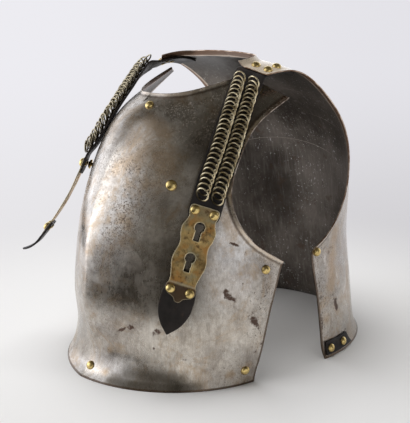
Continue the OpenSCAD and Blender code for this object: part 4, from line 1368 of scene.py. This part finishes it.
def leather_band(name, rows, flip, thinned, crown, bevel, cols=9):
    """Strap leather through rows [inner point, outer point, outward, bow of the row's middle],
    its outer face thinned a little and crowned."""
    f = np.linspace(0, 1, cols)[:, None]
    middle = np.array([a + (b - a) * f + 4 * f * (1 - f) * bow for a, b, _, bow in rows])
    out = np.array([np.broadcast_to(z, (cols, 3)) for _, _, z, _ in rows])
    high = (middle + (LEATHER / 2 - thinned + crown * np.sin(np.pi * f)) * out) * flip
    low = (middle - LEATHER / 2 * out) * flip
    return bevelled(slab(name, low, high, [old_leather()], turned=flip[0] > 0), bevel)


class CUIRASS_OT_shoulder_straps(Operator):
    """Make the strap leather, from under the back's shoulders to the rounded ends"""
    bl_idname = "cuirass.shoulder_straps"
    bl_label = "Shoulder straps"

    def execute(self, context):
        for word, strap in STRAPS.items():
            self.root(word, strap)
            self.band(word, strap)
        return {"FINISHED"}

    def root(self, word, strap):
        """The leather under the back's shoulder, its rear outer corner trimmed clear of the breast."""
        rows = []
        depth = BACK.thickness + PIECE_GAP + LEATHER / 2
        for t in np.linspace(ROOT_FROM, 10, ROOT_ROWS):
            f = (t - ROOT_FROM) / (10 - ROOT_FROM)
            trim = 0.022 * max(0.0, 1 - f / 0.3)
            inner, outer = 0.37 + 0.015 * f, 0.60 + 0.02 * f - trim
            middle = (inner + outer) / 2
            a, b = (BACK.skin(u, t) - depth * BACK.out(u, t) for u in (inner, outer))
            bow = BACK.skin(middle, t) - depth * BACK.out(middle, t) - (a + b) / 2
            rows.append((a, b, BACK.out(middle, t), bow))
        rows += strap_rows(strap, 1.0, ROOT_END)
        piece = leather_band(word + "_strap_root_leather", rows, strap.flip, 0.1, 0.0, 0.5)
        start, end = ((rows[k][0] + rows[k][1]) / 2 * strap.flip * MM for k in (ROOT_ROWS - 1, -1))
        tuple(start)
        tuple(end)
        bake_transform(piece)
        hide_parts(word + "_strap_root")

    def band(self, word, strap):
        """The leather from the shoulder's front edge to its rounded end under the keyhole plate."""
        rows = strap_rows(strap, BAND_START, line_length([strap.middle]) - 1.0)
        deep = -LEATHER / 2
        for s, half in along(STRAP_END, np.linspace(0, len(STRAP_END) - 1, 22)):
            corners = ((-half, deep), (half, deep), (0, 0))
            a, b, up = (strap.on_plate(np.float64(x), s, z) for x, z in corners)
            outward = unit((up - (a + b) / 2) * strap.flip)
            rows.append((a * strap.flip, b * strap.flip, outward, STRAIGHT))
        piece = leather_band(word + "_strap_leather", rows, strap.flip, 0.25, 0.35, 0.55)
        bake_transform(piece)
        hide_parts(word + "_strap", word + "_strap_end")


RING_SIDES, WIRE_SIDES = 26, 8
ROW_TOP, ROW_FOOT = 2, 1.8         # room left above the first ring and below the last
# The way a ring's raised side faces also sets where the rings' painted shade falls
RAISED = (0.6, 0.8)                # the way a ring's raised side faces, across and up its row


class CUIRASS_OT_chains(Operator):
    """Lay two rows of interlinked brass rings along each shoulder strap"""
    bl_idname = "cuirass.chains"
    bl_label = "Chain rows"

    def execute(self, context):
        sizes = context.scene.cuirass_straps
        radius, wire, pitch = sizes.ring_radius / MM, sizes.wire / MM, sizes.pitch / MM
        tip, roll = sizes.tip, sizes.roll
        steepest = math.sin(roll + sizes.lean) * math.cos(tip)
        rise = LEATHER / 2 + wire / 2 + radius * math.hypot(math.sin(tip), steepest)
        across_row, up_row = (part / radius / MM for part in RAISED)
        mirror = Matrix.Diagonal((-1, 1, 1))
        for word, strap in STRAPS.items():
            # The right strap's chain takes the darker finish, for dirt and painted shade
            brass = chain_brass("chain" if word == "left" else "dark chain")
            for row, x in (("outer", 1), ("inner", -1)):
                line = strap.beside(x * sizes.row_gap / MM / 2)
                last = line_length(line) - radius - wire / 2 - ROW_FOOT
                count = int((last - radius - wire / 2 - ROW_TOP) // pitch)
                places = []
                for k in range(count + 1):
                    p, across, up, out = frame_along(line, last - (count - k) * pitch)
                    aside = (roll if k % 2 == 0 else -roll) - sizes.lean
                    turn = Matrix.Rotation(tip, 3, "X") @ Matrix.Rotation(aside, 3, "Y")
                    if strap.side == "right":
                        turn = mirror @ turn @ mirror
                        across, up, out = -across * strap.flip, up * strap.flip, out * strap.flip
                        p = p * strap.flip
                    places.append((p + rise * out, turn_from(across, up, out) @ turn))
                piece = set_out(word + "_" + row + "_chain_rings", ring_tree(), places, {
                    "Ring radius": sizes.ring_radius, "Wire radius": sizes.wire / 2,
                    "Ring sides": RING_SIDES, "Wire sides": WIRE_SIDES, "Finish": brass,
                    "Raised side": [across_row * strap.flip[0], up_row, 0.0],
                })
                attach(piece, word + "_chain_strap")
                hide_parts(word + "_" + row + "_chain")
        return {"FINISHED"}


# The keyhole plate's outline: [distance down, half width]
PLATE_OUTLINE = [
    [2, 15.5], [4, 19.5], [8, 20.5], [14, 20], [19, 18.6], [25, 20], [34, 23.5], [45, 22.8], [52, 20.6],
    [58, 20], [64, 20.8], [74, 23.2], [83, 23.5], [94, 21], [104, 18.8], [110, 18.6], [115, 20.5],
    [121, 20.6], [126, 17], [129, 10], [131, 6.5], [134, 4.5], [136, 2],
]
# A keyhole: its hole's radius and place above the middle, its slot's half width, foot and cut corners
HOLE, HOLE_UP, SLOT, SLOT_END, SLOT_CORNER = 7, 6, 4, 13, 0.6
PLATE_RIVETS_ASIDE = 13.3


def keyhole_loop(at):
    """A keyhole on the plate: a round hole above a straight slot."""
    bottom = math.asin(SLOT / HOLE)
    angles = np.linspace(-math.pi / 2 + bottom, math.pi * 1.5 - bottom, 26)
    loop = [(HOLE * math.cos(a), at - HOLE_UP - HOLE * math.sin(a)) for a in angles]
    side, foot = SLOT - SLOT_CORNER, at + SLOT_END
    return loop + [(-SLOT, foot - SLOT_CORNER), (-side, foot), (side, foot), (SLOT, foot - SLOT_CORNER)]


class CUIRASS_OT_keyhole_plates(Operator):
    """Cut the two waisted brass keyhole plates and rivet them to the straps"""
    bl_idname = "cuirass.keyhole_plates"
    bl_label = "Keyhole plates"

    def execute(self, context):
        face = PLATE_GAP + PLATE_THICK
        for word, strap in STRAPS.items():
            holes = [keyhole_loop(s) for s in KEYHOLES]
            piece = flat_piece(word + "_keyhole_brass", PLATE_OUTLINE, holes, PLATE_GAP, face,
                               strap.on_plate, [plate_brass()], rim=0.35)
            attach(piece, word + "_end_plate")
            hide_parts(word + "_keyhole_plate")
            for which, s in (("upper", UPPER_RIVETS), ("lower", LOWER_RIVETS)):
                places = []
                for x in (-PLATE_RIVETS_ASIDE, PLATE_RIVETS_ASIDE):
                    low, high = (strap.on_plate(np.float64(x), s, z) for z in (0.0, face))
                    places.append((high, facing_turn(high - low)))
                name, body = word + "_" + which, word + "_end_plate"
                rivets(name + "_rivet_heads", LEATHER + face, places, body, [name + "_rivets"], 0.4)
        return {"FINISHED"}


# The tongue's outline: [distance down, half width] above its bend, and [share of its length, half
# width] below
TONGUE_ROOT = [[111, 18], [115, 21.5], [120, 22], [128, 23], [137.2, 23]]
TONGUE_TIP = ((0.19, 22.5), (0.37, 20.5), (0.56, 17), (0.75, 11.5), (0.88, 6), (1, 0.8))


class CUIRASS_OT_tongues(Operator):
    """Make the pointed leather tongues below the keyhole plates"""
    bl_idname = "cuirass.tongues"
    bl_label = "Strap tongues"

    def execute(self, context):
        for word, strap in STRAPS.items():
            outline = TONGUE_ROOT + [[TONGUE_FROM + f * strap.tongue_length, w] for f, w in TONGUE_TIP]

            def warp(x, s, z, strap=strap):
                above = strap.on_plate(x, s, z)
                below = strap.on_tongue(x, np.maximum(s - TONGUE_FROM, 0), z)
                return np.where((s < TONGUE_FROM)[:, None], above, below)

            piece = flat_piece(word + "_tongue_leather", outline, [], -LEATHER, 0, warp, [old_leather()],
                               bevel=0.5, step=3)
            hinge = [strap.on_plate(np.float64(0), TONGUE_FROM + d, -LEATHER / 2) * MM
                     for d in (-TONGUE_BEND, TONGUE_BEND)]
            tuple(hinge[0])
            tuple(hinge[1])
            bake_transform(piece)
            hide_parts(word + "_tongue_root", word + "_tongue")
        return {"FINISHED"}


# The belt leather's thickness, and its stub's corners on the back
BELT_LEATHER = 2.5
BELT_CORNERS = ([0.985, 0.3], [0.745, 0.3], [0.775, 1.5], [0.975, 1.6])


class CUIRASS_OT_belt_stubs(Operator):
    """Lay the cut-off waist belt ends on the back's lower corners"""
    bl_idname = "cuirass.belt_stubs"
    bl_label = "Belt stubs"

    def execute(self, context):
        a, b, c, d = (np.array(p) for p in BELT_CORNERS)
        f, g = np.meshgrid(np.linspace(0, 1, 17), np.linspace(0, 1, 15))
        f, g = f[..., None], g[..., None]
        q = (a + (b - a) * f) * (1 - g) + (d + (c - d) * f) * g
        skin, out = BACK.skin(q[..., 0], q[..., 1]), BACK.out(q[..., 0], q[..., 1])
        lift = PIECE_GAP + BELT_LEATHER
        for word, side in SIDES:
            low, high = ((skin + height * out) * [side, 1, 1] for height in (PIECE_GAP, lift))
            piece = bevelled(slab(word + "_belt_leather", low, high, [old_leather()], turned=side > 0), 0.5)
            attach(piece, "back")
            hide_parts(word + "_belt_stub")
            places, grip = [on_skin(BACK, p, side, lift) for p in BELT_RIVETS], BACK.thickness + lift
            rivets(word + "_belt_rivet_heads", grip, places, "back", [word + "_belt_rivets"])
        return {"FINISHED"}


# Soft bright zones round the object: [azimuth from the back, elevation, inner and outer reach, strength]
ROOM_LIGHT = 0.10
SOFT_ZONES = (
    (-161, 14, 3, 30, 1.1), (-142, 36, 4, 24, 1.0), (-138, 2, 6, 32, 0.7), (-113, 0, 8, 34, 1.15),
    (-72, 4, 18, 46, 1.2), (-30, 8, 10, 48, 0.8), (12, 8, 10, 45, 0.6), (98, 2, 6, 28, 0.9),
    (172, 31, 4, 42, 0.22),
)
DIM_TINT, BRIGHT_TINT = (1.0, 0.93, 0.79), (0.985, 1.02, 1.10)
FLOOR_RADIUS, FLOOR_SIDES, FLOOR_DROP = 9000, 64, 0.3

# The picture's width, height and focal length in pixels, the horizon's place below its upper edge,
# and the camera's turn in degrees
FRAME_WIDTH, FRAME_HEIGHT, FOCAL, HORIZON = 410, 423, 831.0, 3
CAMERA_TURN = 49.7
SENSOR = 36


class CUIRASS_OT_stage(Operator):
    """Lay the floor, hang the lights and set the camera"""
    bl_idname = "cuirass.stage"
    bl_label = "Stage"

    def execute(self, context):
        self.floor()
        self.world(context.scene)
        stage = context.scene.cuirass_stage
        self.light("Key light", (-1.25, -1.25, 0.72), (0.0, 0.1, 0.25), (0.9, 1.0), stage.key)
        top = self.light("Top light", (-0.22, 0.06, 2.0), (0.0, 0.2, 0.0), (1.5, 1.5), stage.top)
        top.visible_glossy = False
        self.camera(context.scene)
        return {"FINISHED"}

    def floor(self):
        around = np.linspace(0, 2 * np.pi, FLOOR_SIDES, endpoint=False)
        points = [[FLOOR_RADIUS * math.cos(a), FLOOR_RADIUS * math.sin(a), -FLOOR_DROP] for a in around]
        faces = [list(range(FLOOR_SIDES))]
        floor = mesh_piece("studio_floor", points, faces, [pale_floor()], smooth=False)

    def world(self, scene):
        """Soft bright zones round a dim room, and the pale background that the camera sees."""
        world = bpy.data.worlds.new("Studio")
        world.use_nodes = True
        scene.world = world
        nodes = Nodes(world.node_tree)
        direction = nodes.add("ShaderNodeTexCoord").outputs["Generated"]
        total = None
        for azimuth, elevation, inner, outer, strength in SOFT_ZONES:
            a, e = math.radians(azimuth), math.radians(elevation)
            aim = (math.sin(a) * math.cos(e), math.cos(a) * math.cos(e), math.sin(e))
            near, far = math.cos(math.radians(inner)), math.cos(math.radians(outer))
            dim = ROOM_LIGHT if total is None else 0.0
            zone = nodes.range(nodes.vector("DOT_PRODUCT", direction, aim), far, near, dim, strength + dim)
            total = zone if total is None else nodes.plus(total, zone)
        tint = nodes.blend(nodes.range(total, 0.12, 0.8, smooth=False), DIM_TINT, BRIGHT_TINT)
        soft = world.node_tree.nodes["Background"]
        nodes.join(total, soft.inputs["Strength"])
        nodes.join(tint, soft.inputs["Color"])
        seen = nodes.add("ShaderNodeBackground", {"Color": background_colour(nodes, direction)})
        rays = nodes.add("ShaderNodeLightPath").outputs
        both = nodes.melt(rays["Is Camera Ray"], soft.outputs[0], seen.outputs[0])
        nodes.join(both, world.node_tree.nodes["World Output"].inputs["Surface"])

    def light(self, name, place, target, size, power):
        lamp = bpy.data.lights.new(name, "AREA")
        lamp.shape = "RECTANGLE"
        lamp.size, lamp.size_y = size
        lamp.energy = power
        thing = new_object(name, lamp)
        turn = (Vector(target) - Vector(place)).to_track_quat("-Z", "Y").to_matrix().to_4x4()
        thing.matrix_world = Matrix.Translation(place) @ turn
        thing.visible_camera = False
        return thing

    def camera(self, scene):
        turn, fall = math.radians(CAMERA_TURN), math.atan((FRAME_HEIGHT / 2 - HORIZON) / FOCAL)
        ahead = Vector((-math.sin(turn) * math.cos(fall), math.cos(turn) * math.cos(fall), -math.sin(fall)))
        right = Vector((math.cos(turn), math.sin(turn), 0))
        lens = bpy.data.cameras.new("Camera")
        lens.sensor_width = SENSOR
        lens.lens = FOCAL * SENSOR / max(FRAME_WIDTH, FRAME_HEIGHT)
        lens.clip_end = 100
        camera = new_object("Camera", lens)
        place = Matrix((right, right.cross(ahead), -ahead)).transposed().to_4x4()
        place.translation = STUDIO_EYE
        camera.matrix_world = place
        scene.camera = camera
        scene.view_settings.view_transform = "Standard"


PIECES = (
    CUIRASS_OT_stage, CUIRASS_OT_breastplate, CUIRASS_OT_backplate, CUIRASS_OT_rivets, CUIRASS_OT_studs,
    CUIRASS_OT_shoulder_straps, CUIRASS_OT_chains, CUIRASS_OT_keyhole_plates, CUIRASS_OT_tongues,
    CUIRASS_OT_belt_stubs,
)


class CUIRASS_PT_panel(Panel):
    """The cuirass's pieces, sizes and colours"""
    bl_idname = "CUIRASS_PT_panel"
    bl_label = "Cuirass"
    bl_space_type = "VIEW_3D"
    bl_region_type = "UI"
    bl_category = "Cuirass"

    def draw(self, context):
        for name in GROUPS:
            box = self.layout.box()
            group = getattr(context.scene, name)
            for key in group.__annotations__:
                box.prop(group, key)
        for piece in PIECES:
            self.layout.operator(piece.bl_idname)


GROUPS = {
    "cuirass_plates": CuirassPlates,
    "cuirass_straps": CuirassStraps,
    "cuirass_finish": CuirassFinish,
    "cuirass_stage": CuirassStage,
}


def register():
    for kind in (*GROUPS.values(), *PIECES, CUIRASS_PT_panel):
        bpy.utils.register_class(kind)
    for name, kind in GROUPS.items():
        setattr(bpy.types.Scene, name, PointerProperty(type=kind))


def unregister():
    for name in GROUPS:
        delattr(bpy.types.Scene, name)
    for kind in reversed((*GROUPS.values(), *PIECES, CUIRASS_PT_panel)):
        bpy.utils.unregister_class(kind)


def main():
    register()
    for piece in PIECES:
        group, action = piece.bl_idname.split(".")
        getattr(getattr(bpy.ops, group), action)()


if __name__ == "__main__":
    main()
